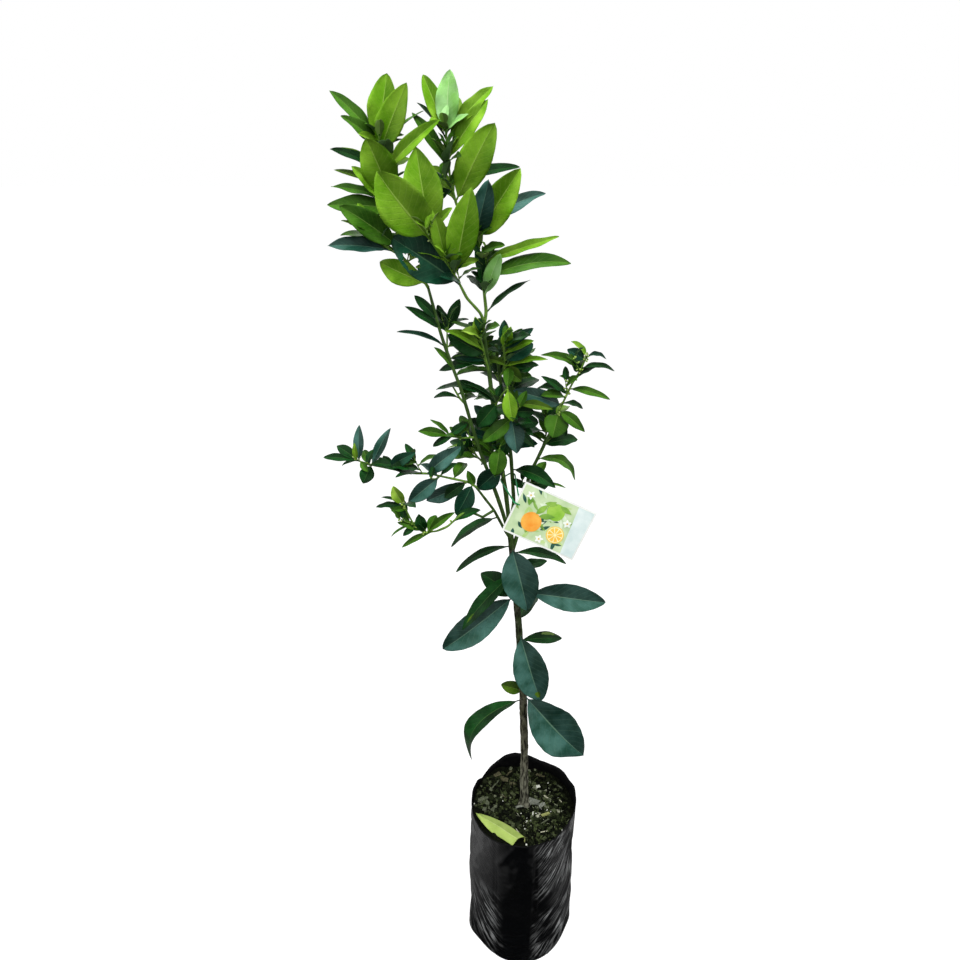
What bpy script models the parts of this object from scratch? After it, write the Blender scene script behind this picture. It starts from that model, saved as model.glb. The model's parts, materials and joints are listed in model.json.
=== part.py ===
# Young potted tangerine tree in a black polythene planter bag, metres, +Z up.
# The origin is the centre of the bag's flat underside, +X is to the right of the
# front view and +Y points away from it.
# Limbs are given in millimetres from the origin, and are scaled to metres once. Leaves
# that the front view shows are given by their marks in that view.
import math
import random

import bmesh
import bpy
import numpy as np
from mathutils import Matrix, Vector
from mathutils.bvhtree import BVHTree

MM = 0.001
GAP = 0.0003

# Front view that leaves are measured in: where it is taken from, its pitch downward, and
# its focal length and centre in pixels
VIEW_PLACE = np.array((-0.067, -0.78, 1.19))
VIEW_PITCH = math.radians(25.0)
VIEW_FOCUS = 698.0
VIEW_CENTRE = 480.0
VIEW_AHEAD = np.array((0.0, math.cos(VIEW_PITCH), -math.sin(VIEW_PITCH)))
VIEW_UP = np.array((0.0, math.sin(VIEW_PITCH), math.cos(VIEW_PITCH)))

# Planter bag: thin wall, a little wider at the base, where two folded gussets poke out.
# Its rim is given as heights in millimetres at compass angles from +X
BAG_RIM_RADIUS = 0.0815
BAG_BASE_RADIUS = 0.084
BAG_GUSSETS = (0.0, 195.0)
BAG_GUSSET_REACH = 0.006
BAG_TAPER_HEIGHT = 0.272
BAG_RIM_HEIGHTS = ((10, 292), (35, 287), (56, 281), (77, 286), (94, 288), (122, 279), (174, 279),
                   (195, 269), (225, 268), (257, 272), (304, 272), (330, 281), (370, 292))
BAG_WALL = 0.0015
BAG_SEGMENTS = 24
BAG_ROWS = 4

# Potting mix: its surface is level round the trunk and mounded elsewhere
SOIL_Z = 0.259
SOIL_MOUND = 0.004
SOIL_RINGS = (0.022, 0.048)
SOIL_SLACK = 0.0011

# Trunk and boughs: centre lines and radii in millimetres; a pair of radii tapers evenly
LIMBS = {
    "trunk": dict(parent="soil", radii=(8.4, 7.0, 6.2, 6.0, 5.7, 4.9, 4.3, 3.9, 3.6),
                  resolution=2,
                  points=[(3, 6, 259), (3, 6, 267), (2, 6, 296), (0, 6, 382), (-5, 5, 489), (-14, 4, 605),
                          (-22, 3, 686), (-27, 2, 739), (-30, 1, 766)]),
    "centre_bough": dict(parent="trunk_tip", radii=(3.0, 2.0), resolution=1,
                         points=[(-30, 1, 766), (-35, -1, 809), (-40, -3, 842), (-49, -8, 905),
                                 (-56, -12, 961), (-63, -16, 1012), (-64, -17, 1027)]),
    "twin_bough": dict(parent="trunk", radii=(2.6, 1.7), resolution=1,
                       points=[(-29, 1, 752), (-24, 12, 790), (-29, 16, 856), (-37, 15, 909),
                               (-44, 11, 955), (-49, 6, 994)]),
    "left_bough": dict(parent="trunk", radii=(2.5, 1.6), resolution=1,
                       points=[(-26, 2, 735), (-40, -8, 790), (-56, -12, 840), (-67, -16, 871),
                               (-77, -20, 907), (-88, -26, 950), (-101, -30, 988),
                               (-109, -32, 1014), (-121, -35, 1064)]),
    "right_bough": dict(parent="trunk", radii=(2.6, 1.9), resolution=1,
                        points=[(-25, 2, 722), (-13, 8, 770), (-6, 11, 828), (6, 13, 854),
                                (17, 16, 879)]),
    "low_bough": dict(parent="left_bough", radii=(2.2, 1.5), resolution=1,
                      points=[(-28, 0, 743), (-38, -13, 767), (-50, -30, 800), (-71, -38, 834)]),
    "hook_bough": dict(parent="low_bough", radii=(1.8, 1.4), resolution=1,
                       points=[(-50, -30, 800), (-64, -44, 798), (-80, -55, 812)]),
}

# Proportions of a leaf: petiole, belly and neck along its length, arch and fold
PETIOLE_HALF = 0.0011
PETIOLE_THICK = 0.0020
BLADE_THICK = 0.0014
LEAF_ARCH = 0.07
LEAF_FOLD = 0.22
LONG_LEAF = 0.060
LONG_STATIONS = ((0.10, 0.05), (0.34, 0.45), (0.60, 0.49), (0.84, 0.28))
SHORT_STATIONS = ((0.42, 0.49), (0.78, 0.34))
PHYLLOTAXIS = 144.0
ROOT_DEPTH = 0.001

# The room that the crown fills
CROWN_MIN = Vector((-0.246, -0.155, 0.36))
CROWN_MAX = Vector((0.102, 0.165, 1.266))

# Masses of foliage: stem, forked twigs, leaves measured in the front view as (limb number,
# mark of the root, mark of the tip, width in pixels, millimetres that the tip lies behind
# the root, turn to the front in degrees, arch where it is not the usual one), and a rule
# for the leaves that fill in between them. A mark is a column and a row in pixels, and a
# stem mark has the depth behind the origin in millimetres too
SET_MASSES = {
    "head_left_foliage": dict(
        parent="left_bough", radii=(1.9, 1.1),
        stem=[(-121, -35, 1064), (-128, -35, 1076), (-149, -33, 1096), (-156, -20, 1148),
              (-168, -10, 1200)],
        twigs=[[(-149, -33, 1096), (-160, -38, 1103), (-172, -41, 1116), (-178, -45, 1127)]],
        leaves=[(0, (373, 142), (330, 88), 17, -5, 35), (0, (374, 150), (340, 115), 15, -14, 50),
                (0, (379, 142), (387, 72.5), 29, 4, 80), (0, (385, 150), (406, 82), 28, -14, 80),
                (0, (388, 155), (422, 108), 9, 8, 10), (0, (396, 170), (440, 120), 16, -16, 60),
                (0, (399, 194), (366, 138), 36, -34, 78), (0, (386, 176), (331, 147), 12, -8, 45),
                (0, (387, 173), (341, 146), 8, 3, 45), (0, (389, 190), (333, 169), 8, 6, 45),
                (0, (391, 203), (331, 187), 14, -6, 35), (0, (392, 207), (353, 166), 16, -18, 60),
                (0, (391, 210), (327, 203), 21, -16, 60), (1, (378, 236), (341, 220), 8, -8, 20),
                (0, (396, 248), (340, 206), 25, -26, 72), (0, (397, 253), (343, 238), 10, 4, 45),
                (1, (392, 250), (327, 246), 18, -10, 50),
                (0, (426, 284), (379, 261.5), 24, 3, 85, 0.05)],
        rule=dict(count=6, start=60, lift=(10, 50), length=(58, 50), seed=3)),
    "head_middle_foliage": dict(
        parent="centre_bough", radii=(1.9, 1.1),
        stem=[(-64, -17, 1027), (-66, -20, 1034), (-81, -28, 1052), (-90, -34, 1071), (-101, -40, 1089),
              (-117, -45, 1113)],
        twigs=[],
        leaves=[(0, (428, 238), (377, 171), 47, -24, 90), (0, (434, 240), (416, 146), 40, -4, 85),
                (0, (459, 286), (391, 235.5), 43, -4, 66, 0.10),
                (0, (447, 262), (431, 209), 17, -14, 80),
                (0, (455, 275), (471, 188), 31, -24, 88, 0.05)],
        rule=dict(count=3, start=40, lift=(20, 20), length=(46, 50), seed=5)),
    "head_right_foliage": dict(
        parent="centre_bough", radii=(1.9, 1.1),
        stem=[(-63, -16, 1018), (-60, -12, 1034), (-63, -12, 1060), (-69, -12, 1099), (-81, -12, 1124),
              (-92, -10, 1145), (-98, -8, 1172), (-101, -4, 1211)],
        twigs=[],
        leaves=[(0, (445, 134), (423.3, 73.3), 18, 10, 60), (0, (445, 128), (450, 69), 23, 2, 85),
                (0, (446, 140), (493.3, 85), 16, 8, 50), (0, (450, 160), (487.7, 98.3), 19, 0, 55),
                (0, (459, 201), (494, 123), 33, -16, 85), (0, (448, 168), (411.7, 111), 14, 2, 45),
                (0, (444, 140), (417, 101), 8, 12, 20), (0, (451, 184), (520.7, 166), 14, 22, 45),
                (0, (482, 237), (520, 168), 33, -22, 85), (0, (470, 236), (546, 192), 22, 24, 35),
                (0, (477, 240), (489, 180), 25, -30, 80), (0, (454, 190), (431, 204), 12, -4, 45),
                (0, (484, 294), (475, 243.5), 11, -6, 25),
                (0, (480, 263), (559, 234), 13, 12, 40, 0.02),
                (0, (482, 279), (571, 258.5), 26, -4, 30), (0, (484, 296), (500, 254), 16, -10, 70),
                (0, (487, 312), (530, 278.5), 9, 8, 20)],
        rule=dict(count=6, start=70, lift=(25, 50), length=(60, 52), seed=8)),
    "right_spray_foliage": dict(
        parent="right_bough", radii=(1.5, 0.9),
        stem=[(17, 16, 879), (24, 18, 898), (33, 20, 920), (41, 20, 940), (46, 20, 950), (53, 20, 964),
              (58, 20, 978)],
        twigs=[],
        leaves=[(0, (579, 371), (542, 354), 11, -8, 35, 0.15), (0, (584, 360), (567, 349), 12, 5, 60),
                (0, (586, 358), (607, 359), 8, -3, 20, 0.20), (0, (580, 372), (572, 361), 9, -5, 60),
                (0, (582, 370), (615, 371), 8, -3, 30, 0.20), (0, (565, 393), (541, 375.5), 9, 0, 35),
                (0, (570, 389), (611, 398), 9.5, -15, 40, 0.10),
                (0, (563, 403), (584, 408), 8, -5, 25, 0.15), (0, (557, 413), (553, 438), 25, -25, 75),
                (0, (559, 411), (585, 432), 12, -20, 60, 0.25), (0, (573, 382), (559, 376), 6, 5, 20),
                (0, (556, 418), (567, 437), 10, 4, 40), (0, (560, 405), (514, 390), 17, -16, 55)],
        rule=dict(count=4, start=60, lift=(5, 40), length=(38, 26), seed=12)),
    "left_spray_foliage": dict(
        parent="low_bough", radii=(1.5, 0.9),
        stem=[(-71, -38, 834), (-78, -41, 842), (-91, -45, 847), (-127, -50, 858), (-144, -50, 858),
              (-192, -50, 869), (-209, -50, 875)],
        twigs=[],
        leaves=[(0, (357, 460), (323, 457), 9, 0, 40), (0, (359, 461), (359, 425), 11, 8, 75),
                (0, (371, 464), (390, 428), 10.5, 8, 65), (0, (356, 460), (354, 443), 5, -5, 40),
                (0, (358, 461), (342, 465), 5, -6, 10), (0, (360, 461), (368, 472), 7, -12, 60),
                (0, (372, 465), (363, 484), 15, -15, 75), (0, (388, 468), (415.5, 452), 13.5, -8, 60),
                (0, (392, 469), (383, 455), 9, 10, 50), (0, (396, 470), (414, 462), 11, 10, 50),
                (0, (379, 467), (412, 475), 6, -10, 20), (0, (428, 473), (461, 447), 17, -5, 60, 0.16),
                (0, (440, 477), (457, 462), 7, 8, 30), (0, (440, 477), (407.5, 503), 17, -15, 75),
                (0, (473, 484), (457, 516), 18.5, -14, 85), (0, (466, 482), (444, 498), 13, 2, 60),
                (0, (468, 483), (424, 504), 16, 10, 75), (0, (474, 485), (467, 470), 9, -3, 50)],
        rule=dict(count=4, start=70, lift=(10, 30), length=(40, 30), seed=16)),
    "hook_spray_foliage": dict(
        parent="hook_bough", radii=(1.5, 0.9),
        stem=[(-80, -55, 812), (-89, -60, 810), (-105, -66, 797), (-118, -70, 793), (-133, -72, 793),
              (-142, -72, 801), (-148, -70, 812), (-155, -70, 830)],
        twigs=[],
        leaves=[(0, (428, 531), (456, 512), 9, -8, 45), (0, (424, 531), (418, 514), 12, -5, 70),
                (0, (413, 525), (391, 537), 5, -5, 0), (0, (432, 531), (401, 547), 7, -10, 30),
                (0, (415, 527), (403, 536), 7, -10, 40), (0, (403, 503), (393, 486), 12.5, -5, 80),
                (0, (404, 505), (375, 507), 7, 0, 30), (0, (406, 509), (391, 511), 6, -8, 40),
                (0, (403, 503), (381, 497), 5, 5, 10)],
        rule=dict(count=3, start=30, lift=(10, 20), length=(36, 28), seed=21)),
    "crown_right_top": dict(
        parent="twin_bough", radii=(1.3, 0.9),
        stem_marks=[(499.5, 377, 9.5), (503, 372, 4), (505, 358, -4), (503, 345, -10)],
        twigs=[],
        leaves=[(0, (503, 346), (504, 319), 11, 8, 60), (0, (503, 347), (511, 326), 12, -4, 75),
                (0, (504, 349), (523, 328), 9, 6, 50), (0, (504, 350), (533, 327), 12, 0, 45),
                (0, (504, 354), (533.5, 340), 10, -9, 45), (0, (505, 361), (534, 343), 17, 5, 70),
                (0, (504, 367), (548, 359), 9, -6, 30), (0, (504, 371), (539, 364), 10, 2, 40),
                (0, (503, 373), (522, 381), 15, -15, 70)],
        rule=dict(count=3, start=40, lift=(5, 30), length=(46, 40), seed=36)),
    "crown_left_top": dict(
        parent="centre_bough", radii=(1.3, 0.9),
        stem_marks=[(489, 372, -12.5), (486, 362, -18), (484, 350, -22), (480, 338, -26)],
        twigs=[],
        leaves=[(0, (484, 351), (446, 329), 13, -12, 35), (0, (485, 355), (447, 334), 20, -3, 70),
                (0, (486, 365), (451, 356), 5, -6, 0), (0, (486, 360), (455, 357), 9, 4, 50),
                (0, (488, 370), (438, 370), 12, 8, 45), (0, (480, 340), (475, 317), 11, -4, 70)],
        rule=dict(count=2, start=150, lift=(5, 30), length=(46, 40), seed=35)),
    "left_bough_rear": dict(
        parent="left_bough", radii=(1.3, 0.9),
        stem_marks=[(447, 352, -30.5), (447, 342, -26), (447, 331, -20)],
        twigs=[],
        leaves=[(0, (447, 332), (460, 298), 12, 12, 70), (0, (447, 334), (460, 313), 15, 3, 70)],
        rule=dict(count=4, start=60, lift=(5, 35), length=(44, 40), seed=32)),
    "crown_front_middle": dict(
        parent="centre_bough", radii=(1.3, 0.9),
        stem_marks=[(494, 413, -9), (497, 403, -18), (502, 394, -26), (508, 389, -31)],
        twigs=[],
        leaves=[(0, (508, 389), (513, 422), 15.5, -14, 88),
                (0, (496, 406), (433, 396), 14, 9, 20, 0.18), (0, (497, 403), (462, 387), 6, 2, 10),
                (0, (495, 410), (477, 427), 19, -10, 85)],
        rule=dict(count=2, start=300, lift=(5, 30), length=(40, 36), seed=37)),
    "crown_right_middle": dict(
        parent="twin_bough", radii=(1.3, 0.9),
        stem_marks=[(508, 433, 13.5), (510, 424, 4), (512, 414, -4), (517, 403, -8)],
        twigs=[],
        leaves=[(0, (517, 404), (554, 409), 10, -3, 45), (0, (513, 411), (535, 412), 14, 0, 70),
                (0, (511, 421), (539, 422), 15, 6, 60), (0, (512, 417), (517, 454), 20, -24, 85),
                (0, (511, 418), (483, 441), 16, -34, 75), (0, (510, 428), (535, 448), 10, 0, 50)],
        rule=dict(count=2, start=330, lift=(5, 30), length=(40, 36), seed=39)),
    "crown_left_middle": dict(
        parent="left_bough", radii=(1.3, 0.9),
        stem_marks=[(475.5, 437.5, -18), (462, 438, -21), (449, 436, -24)],
        twigs=[],
        leaves=[(0, (450, 437), (417.5, 430.5), 10, -3, 50), (0, (450, 437), (430, 419), 6, 6, 20),
                (0, (455, 437), (467, 428), 7, 4, 30), (0, (452, 437), (432, 446.5), 8, -6, 45),
                (0, (460, 438), (461, 457), 8, -8, 60), (0, (462, 438), (449, 427), 7, 6, 50)],
        rule=dict(count=3, start=90, lift=(5, 30), length=(34, 28), seed=38)),
    "crown_front_low": dict(
        parent="centre_bough", radii=(1.3, 0.9),
        stem_marks=[(504, 478, -3), (502, 468, -11), (500, 456, -18), (500, 446, -22)],
        twigs=[],
        leaves=[(0, (501, 460), (468, 453), 9, 14, 40), (0, (500, 447), (495, 476), 18.5, -12, 85),
                (0, (502, 467), (477, 489), 21, -6, 75), (0, (500, 458), (508, 437), 13, 4, 60),
                (0, (500, 455), (478, 468), 12, 26, 40)],
        rule=dict(count=2, start=250, lift=(5, 30), length=(38, 34), seed=40)),
    "crown_right_low": dict(
        parent="right_bough", radii=(1.3, 0.9),
        stem_marks=[(520, 491, 7.5), (525, 486, 0), (531, 482, -6)],
        twigs=[],
        leaves=[(0, (524, 487), (549, 485), 12, 6, 60), (0, (529, 483), (566, 489), 6, -8, 10),
                (0, (521, 489), (511, 474), 10, 6, 50)],
        rule=dict(count=4, start=330, lift=(5, 40), length=(42, 38), seed=41)),
}

# Masses inside and behind the crown: bough, place along it, heading and lift of the stem
# in degrees, stem length, number of leaves, leaf length, seed
RULE_MASSES = {
    "crown_tip_right": ("twin_bough", 0.92, 40, 15, 30, 9, 36, 33),
    "crown_rear_tip": ("centre_bough", 0.80, 110, 15, 32, 8, 38, 34),
    "left_bough_twig": ("left_bough", 0.60, 130, 25, 26, 5, 34, 31),
    "crown_left_low": ("left_bough", 0.36, 130, 20, 34, 9, 48, 42),
    "crown_rear_top": ("twin_bough", 0.80, 115, 30, 48, 10, 56, 43),
    "crown_rear_middle": ("twin_bough", 0.64, 80, 25, 56, 11, 58, 44),
    "crown_rear_low": ("twin_bough", 0.40, 120, 20, 54, 11, 58, 45),
    "crown_rear_right": ("right_bough", 0.86, 70, 30, 44, 9, 50, 46),
}

# Single leaves: limb, marks of root and tip, width in pixels, step behind, turn, arch
SINGLE_LEAVES = {
    "bough_leaf_left_top": ("left_bough", (435, 320), (414, 296), 10, -3, 50, 0.07),
    "bough_leaf_left_upper": ("left_bough", (437, 328), (405, 305), 9, -8, 45, 0.07),
    "bough_leaf_left_narrow": ("centre_bough", (493, 448), (446, 447), 6.5, 12, 10, 0.07),
    "bough_leaf_middle": ("centre_bough", (495, 444), (463, 430), 11, 8, 60, 0.07),
    "bough_leaf_upper_left": ("low_bough", (497, 518), (450, 546), 15, -12, 8, 0.09),
    "bough_leaf_arched_left": ("trunk", (510, 547), (455, 572), 10, -14, 20, 0.16),
    "bough_leaf_left_long": ("left_bough", (443, 347), (396, 332), 8, -4, 20, 0.09),
    "bough_leaf_left_small": ("left_bough", (453, 368), (434, 346), 8, -6, 30, 0.07),
    "bough_leaf_arched_right": ("twin_bough", (510, 470), (556, 488), 15, -26, 45, 0.24),
    "bough_leaf_crescent": ("right_bough", (538, 459), (576, 480), 14, -4, 20, 0.30),
    "trunk_leaf_front_upper": ("trunk", (512.5, 548), (527.5, 612), 36, -30, 72, 0.07),
    "trunk_leaf_under_label": ("trunk", (514, 553), (567, 563), 12, -8, 20, 0.12),
    "trunk_leaf_rear_right": ("trunk", (514, 572), (547.5, 561), 13, 12, 20, 0.07),
    "trunk_leaf_right": ("trunk", (516, 591), (606.5, 602), 27, -14, 50, 0.08),
    "trunk_leaf_rear_left": ("trunk", (516, 598), (480, 572), 22, 22, 50, 0.07),
    "trunk_leaf_left_big": ("trunk", (515, 596), (440, 644), 29, -20, 58, 0.07),
    "trunk_leaf_left_narrow": ("trunk", (513, 573), (461, 630), 16, -44, 30, 0.07),
    "trunk_leaf_right_small": ("trunk", (520, 641), (562.5, 638.5), 13, 16, 35, 0.07),
    "trunk_leaf_front_middle": ("trunk", (524, 632), (541, 704), 34, -36, 75, 0.07),
    "trunk_leaf_rear_low": ("trunk", (522, 692), (500.5, 685), 13, 6, 40, 0.07),
    "trunk_leaf_left_low": ("trunk", (522, 698), (469, 759), 20, -26, 10, 0.36),
    "trunk_leaf_right_low": ("trunk", (524, 694), (584, 756.5), 44, -30, 66, 0.07),
}
# The same for a leaf that the front view hides: limb, place along it, reach in x, y, z,
# width, turn and arch
HIDDEN_LEAVES = {
    "trunk_leaf_rear_high": ("trunk", 0.69, 26, 74, 4, 30, 0, 0.07),
}

# Picture label: a thin card that hangs in front of the fork on a green tie
LABEL_CENTRE = Vector((0.013, -0.070, 0.806))
LABEL_LONG = Vector((0.909, -0.078, -0.410))
LABEL_SHORT = Vector((0.417, 0.150, 0.897))
LABEL_SIZE = (0.091, 0.064, 0.0008)
LABEL_HOLE_INSET = 0.006
LABEL_HOLE_RADIUS = 0.0022
LABEL_HOLE_DROP = 0.004
TIE_RADIUS = 0.0008

# Fallen leaf: it lies face down, folded along its rib, with a blunt end at its root
FALLEN_TIP = Vector((-0.0730, -0.0200, 0.0))
FALLEN_REACH = Vector((0.0620, -0.0450, 0.0))
FALLEN_WIDTH = 0.024
FALLEN_FOLD = 0.42
FALLEN_STATIONS = ((0.0, 0.40), (0.30, 0.50), (0.62, 0.43), (0.88, 0.22))

BAG_BLACK = (0.012, 0.012, 0.014, 1.0)
MIX_BROWN = (0.035, 0.026, 0.018, 1.0)
BARK_GREY = (0.22, 0.19, 0.14, 1.0)
STEM_GREEN = (0.16, 0.30, 0.05, 1.0)
LEAF_DARK = (0.025, 0.09, 0.035, 1.0)
LEAF_YOUNG = (0.22, 0.45, 0.06, 1.0)
LEAF_FALLEN = (0.42, 0.58, 0.14, 1.0)
LABEL_PAPER = (0.85, 0.88, 0.85, 1.0)
TIE_GREEN = (0.02, 0.28, 0.13, 1.0)

# Ways to move a leaf that is in the way: swing and lift in degrees, and size
SETTLE_STEPS = ((0, 0, 1.0), (4, 0, 1.0), (-4, 0, 1.0), (0, 4, 1.0), (0, -4, 1.0),
                (8, 0, 1.0), (-8, 0, 1.0), (0, 8, 1.0), (0, -8, 1.0), (8, 6, 1.0), (-8, 6, 1.0),
                (8, -6, 1.0), (-8, -6, 1.0), (14, 0, 1.0), (-14, 0, 1.0), (14, 8, 1.0),
                (-14, 8, 1.0), (0, 14, 0.9), (22, 0, 0.9), (-22, 0, 0.9), (0, -14, 0.85))

occupied = []
blades = {}


def clear_scene():
    for item in list(bpy.data.objects):
        bpy.data.objects.remove(item, do_unlink=True)
    for group in list(bpy.data.collections):
        bpy.data.collections.remove(group)


def new_collection(name):
    group = bpy.data.collections.new(name)
    bpy.context.scene.collection.children.link(group)
    return group


def paint(item, colour, roughness):
    material = bpy.data.materials.new(item.name + "_material")
    material.use_nodes = True
    shader = material.node_tree.nodes["Principled BSDF"]
    shader.inputs["Base Color"].default_value = colour
    shader.inputs["Roughness"].default_value = roughness
    shader.inputs["Metallic"].default_value = 0.0
    item.data.materials.clear()
    item.data.materials.append(material)


def object_from_bmesh(name, shape, group):
    mesh = bpy.data.meshes.new(name)
    shape.to_mesh(mesh)
    shape.free()
    item = bpy.data.objects.new(name, mesh)
    group.objects.link(item)
    return item


def metres(points):
    return [Vector(point) * MM for point in points]


def along(points, place):
    # Point and direction at a share of the length of a polyline
    lengths = [(points[i + 1] - points[i]).length for i in range(len(points) - 1)]
    left = place * sum(lengths)
    for i, length in enumerate(lengths):
        if left <= length or i == len(lengths) - 1:
            return points[i].lerp(points[i + 1], min(left / length, 1.0)), \
                (points[i + 1] - points[i]).normalized()
        left -= length


def tapered(radii, count):
    # Radii that fall evenly from the first to the second value
    return [radii[0] + (radii[1] - radii[0]) * i / (count - 1) for i in range(count)]


def tube(name, points, radii, resolution, group):
    # Round limb: a bevelled curve turned into a mesh with its caps welded on
    curve = bpy.data.curves.new(name, "CURVE")
    curve.dimensions = "3D"
    curve.bevel_depth = 1.0
    curve.bevel_resolution = resolution
    curve.use_fill_caps = True
    spline = curve.splines.new("POLY")
    spline.points.add(len(points) - 1)
    for knot, point, radius in zip(spline.points, points, radii):
        knot.co = (point.x, point.y, point.z, 1.0)
        knot.radius = radius
    guide = bpy.data.objects.new(name + "_guide", curve)
    group.objects.link(guide)
    bpy.context.view_layer.update()
    graph = bpy.context.evaluated_depsgraph_get()
    mesh = bpy.data.meshes.new_from_object(guide.evaluated_get(graph))
    shape = bmesh.new()
    shape.from_mesh(mesh)
    bmesh.ops.remove_doubles(shape, verts=shape.verts, dist=0.00001)
    bmesh.ops.recalc_face_normals(shape, faces=shape.faces)
    bpy.data.objects.remove(guide, do_unlink=True)
    bpy.data.meshes.remove(mesh)
    return object_from_bmesh(name, shape, group)


def facing_side(reach, turn):
    # Upper side of a blade: straight up at no turn, to the front at ninety degrees
    wish = Vector((0.0, -math.sin(math.radians(turn)), math.cos(math.radians(turn))))
    along_leaf = reach.normalized()
    side = wish - along_leaf * wish.dot(along_leaf)
    if side.length < 0.05:
        side = Vector((1.0, 0.0, 0.0)).cross(along_leaf)
    return side.normalized()


def leaf_rings(leaf, grown):
    # Three-point sections of a leaf: left edge, right edge and the keel under the midrib.
    # The keel is the chord plus an arch of 4 s (1 - s) times the leaf's own share of its
    # length, and the edges stand over it by the fold and the thickness.
    reach = leaf["reach"]
    upper = leaf["upper"]
    span = reach.length
    across = reach.normalized().cross(upper)
    stations = LONG_STATIONS if span > LONG_LEAF else SHORT_STATIONS
    rings = []
    for place, share in leaf.get("stations", ((0.0, 0.0),) + stations):
        half = max(PETIOLE_HALF, share * leaf["width"])
        fold = leaf.get("fold", LEAF_FOLD) * max(half - 2.0 * PETIOLE_HALF, 0.0)
        thick = PETIOLE_THICK if share < 0.1 else BLADE_THICK
        arch = leaf["arch"] * span * 4.0 * place * (1.0 - place)
        centre = leaf["root"] + reach * place + upper * arch
        edge = upper * (fold + thick / 2.0 + grown)
        rings.append((centre - across * (half + 2.0 * grown) + edge,
                      centre + across * (half + 2.0 * grown) + edge,
                      centre - upper * (thick / 2.0 + grown)))
    return rings, leaf["root"] + reach * (1.0 + grown / span)


def leaf_faces(leaf, grown):
    # Points and faces of the loft through the sections, closed by petiole and tip
    rings, tip = leaf_rings(leaf, grown)
    sides = len(rings[0])
    points = [point for ring in rings for point in ring] + [tip]
    faces = [tuple(reversed(range(sides)))]
    for row in range(len(rings) - 1):
        for side in range(sides):
            first = row * sides + side
            second = row * sides + (side + 1) % sides
            faces.append((first, second, second + sides, first + sides))
    last = (len(rings) - 1) * sides
    for side in range(sides):
        faces.append((last + side, last + (side + 1) % sides, len(points) - 1))
    return points, faces


def leaf_object(name, leaf, group):
    points, faces = leaf_faces(leaf, 0.0)
    shape = bmesh.new()
    corners = [shape.verts.new(point) for point in points]
    for face in faces:
        shape.faces.new([corners[i] for i in face])
    bmesh.ops.triangulate(shape, faces=shape.faces)
    bmesh.ops.recalc_face_normals(shape, faces=shape.faces)
    return object_from_bmesh(name, shape, group)


def tree_of(item):
    corners = [item.matrix_world @ vertex.co for vertex in item.data.vertices]
    return BVHTree.FromPolygons(corners, [tuple(face.vertices) for face in item.data.polygons])


def is_free(leaf, owner):
    # Inside the crown's room, and clear of every limb and of other masses' leaves
    tip = leaf["root"] + leaf["reach"]
    for axis in range(3):
        if not CROWN_MIN[axis] <= tip[axis] <= CROWN_MAX[axis]:
            return False
    leaf_tree = BVHTree.FromPolygons(*leaf_faces(leaf, 0.0006))
    return not any(leaf_tree.overlap(tree) for name, tree in occupied if name != owner)


def crosses_sister(leaf, owner):
    # Whether the blade beyond the petiole crosses a blade of its own mass
    blade = blade_tree(leaf)
    return any(blade.overlap(tree) for tree in blades.get(owner, []))


def blade_tree(leaf):
    points, faces = leaf_faces(leaf, 0.0)
    return BVHTree.FromPolygons(points, [face for face in faces if min(face) > 2])


def swung(leaf, swing, lift, size):
    # The same leaf turned about the vertical, tipped up or down, and scaled
    reach = leaf["reach"].copy()
    reach.rotate(Matrix.Rotation(math.radians(swing), 3, "Z"))
    level = reach.cross(Vector((0.0, 0.0, 1.0)))
    reach.rotate(Matrix.Rotation(math.radians(lift), 3, level))
    reach *= size
    upper = leaf["upper"] - reach.normalized() * leaf["upper"].dot(reach.normalized())
    return dict(leaf, reach=reach, upper=upper.normalized(), width=leaf["width"] * size)


def settle(leaf, owner):
    # The leaf as given, or swung and lifted a little until it is free
    second = None
    for swing, lift, size in SETTLE_STEPS:
        tried = swung(leaf, swing, lift, size)
        if not is_free(tried, owner):
            continue
        if not crosses_sister(tried, owner):
            return tried
        second = second or tried
    return second


def mark_of(point):
    # Column and row of a place in millimetres in the front view, and its distance ahead
    offset = np.asarray(point) * MM - VIEW_PLACE
    distance = offset @ VIEW_AHEAD
    column = VIEW_CENTRE + VIEW_FOCUS * offset[0] / distance
    row = VIEW_CENTRE - VIEW_FOCUS * (offset @ VIEW_UP) / distance
    return column, row, distance


def place_behind(mark, depth):
    # Place in millimetres behind a mark in the front view, where y is the given depth
    ray = VIEW_AHEAD * VIEW_FOCUS - VIEW_UP * (mark[1] - VIEW_CENTRE)
    ray[0] += mark[0] - VIEW_CENTRE
    return (VIEW_PLACE + ray * (depth * MM - VIEW_PLACE[1]) / ray[1]) / MM


def nearest_on(points, mark, first, last=0.99):
    # Share of a line's length, from first to last, whose place is seen nearest to a mark
    knots = np.array(points, dtype=float)
    steps = np.cumsum(np.linalg.norm(np.diff(knots, axis=0), axis=1))
    steps = np.concatenate([[0.0], steps]) / steps[-1]
    shares = np.linspace(first, last, 201)
    places = np.stack([np.interp(shares, steps, knots[:, axis]) for axis in range(3)], axis=1)
    seen = np.array([mark_of(place)[:2] for place in places])
    best = int(np.argmin(np.hypot(seen[:, 0] - mark[0], seen[:, 1] - mark[1])))
    return float(shares[best]), places[best]


def whole(place):
    return tuple(round(value) for value in place)


def measured_stem(parent, marks):
    # Stem through its marks, in whole millimetres, sprung from the nearest place on its bough
    points = [whole(place_behind(mark, mark[2])) for mark in marks]
    points[0] = whole(nearest_on(LIMBS[parent]["points"], mark_of(points[0]), 0.02, 0.985)[1])
    return points


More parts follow.
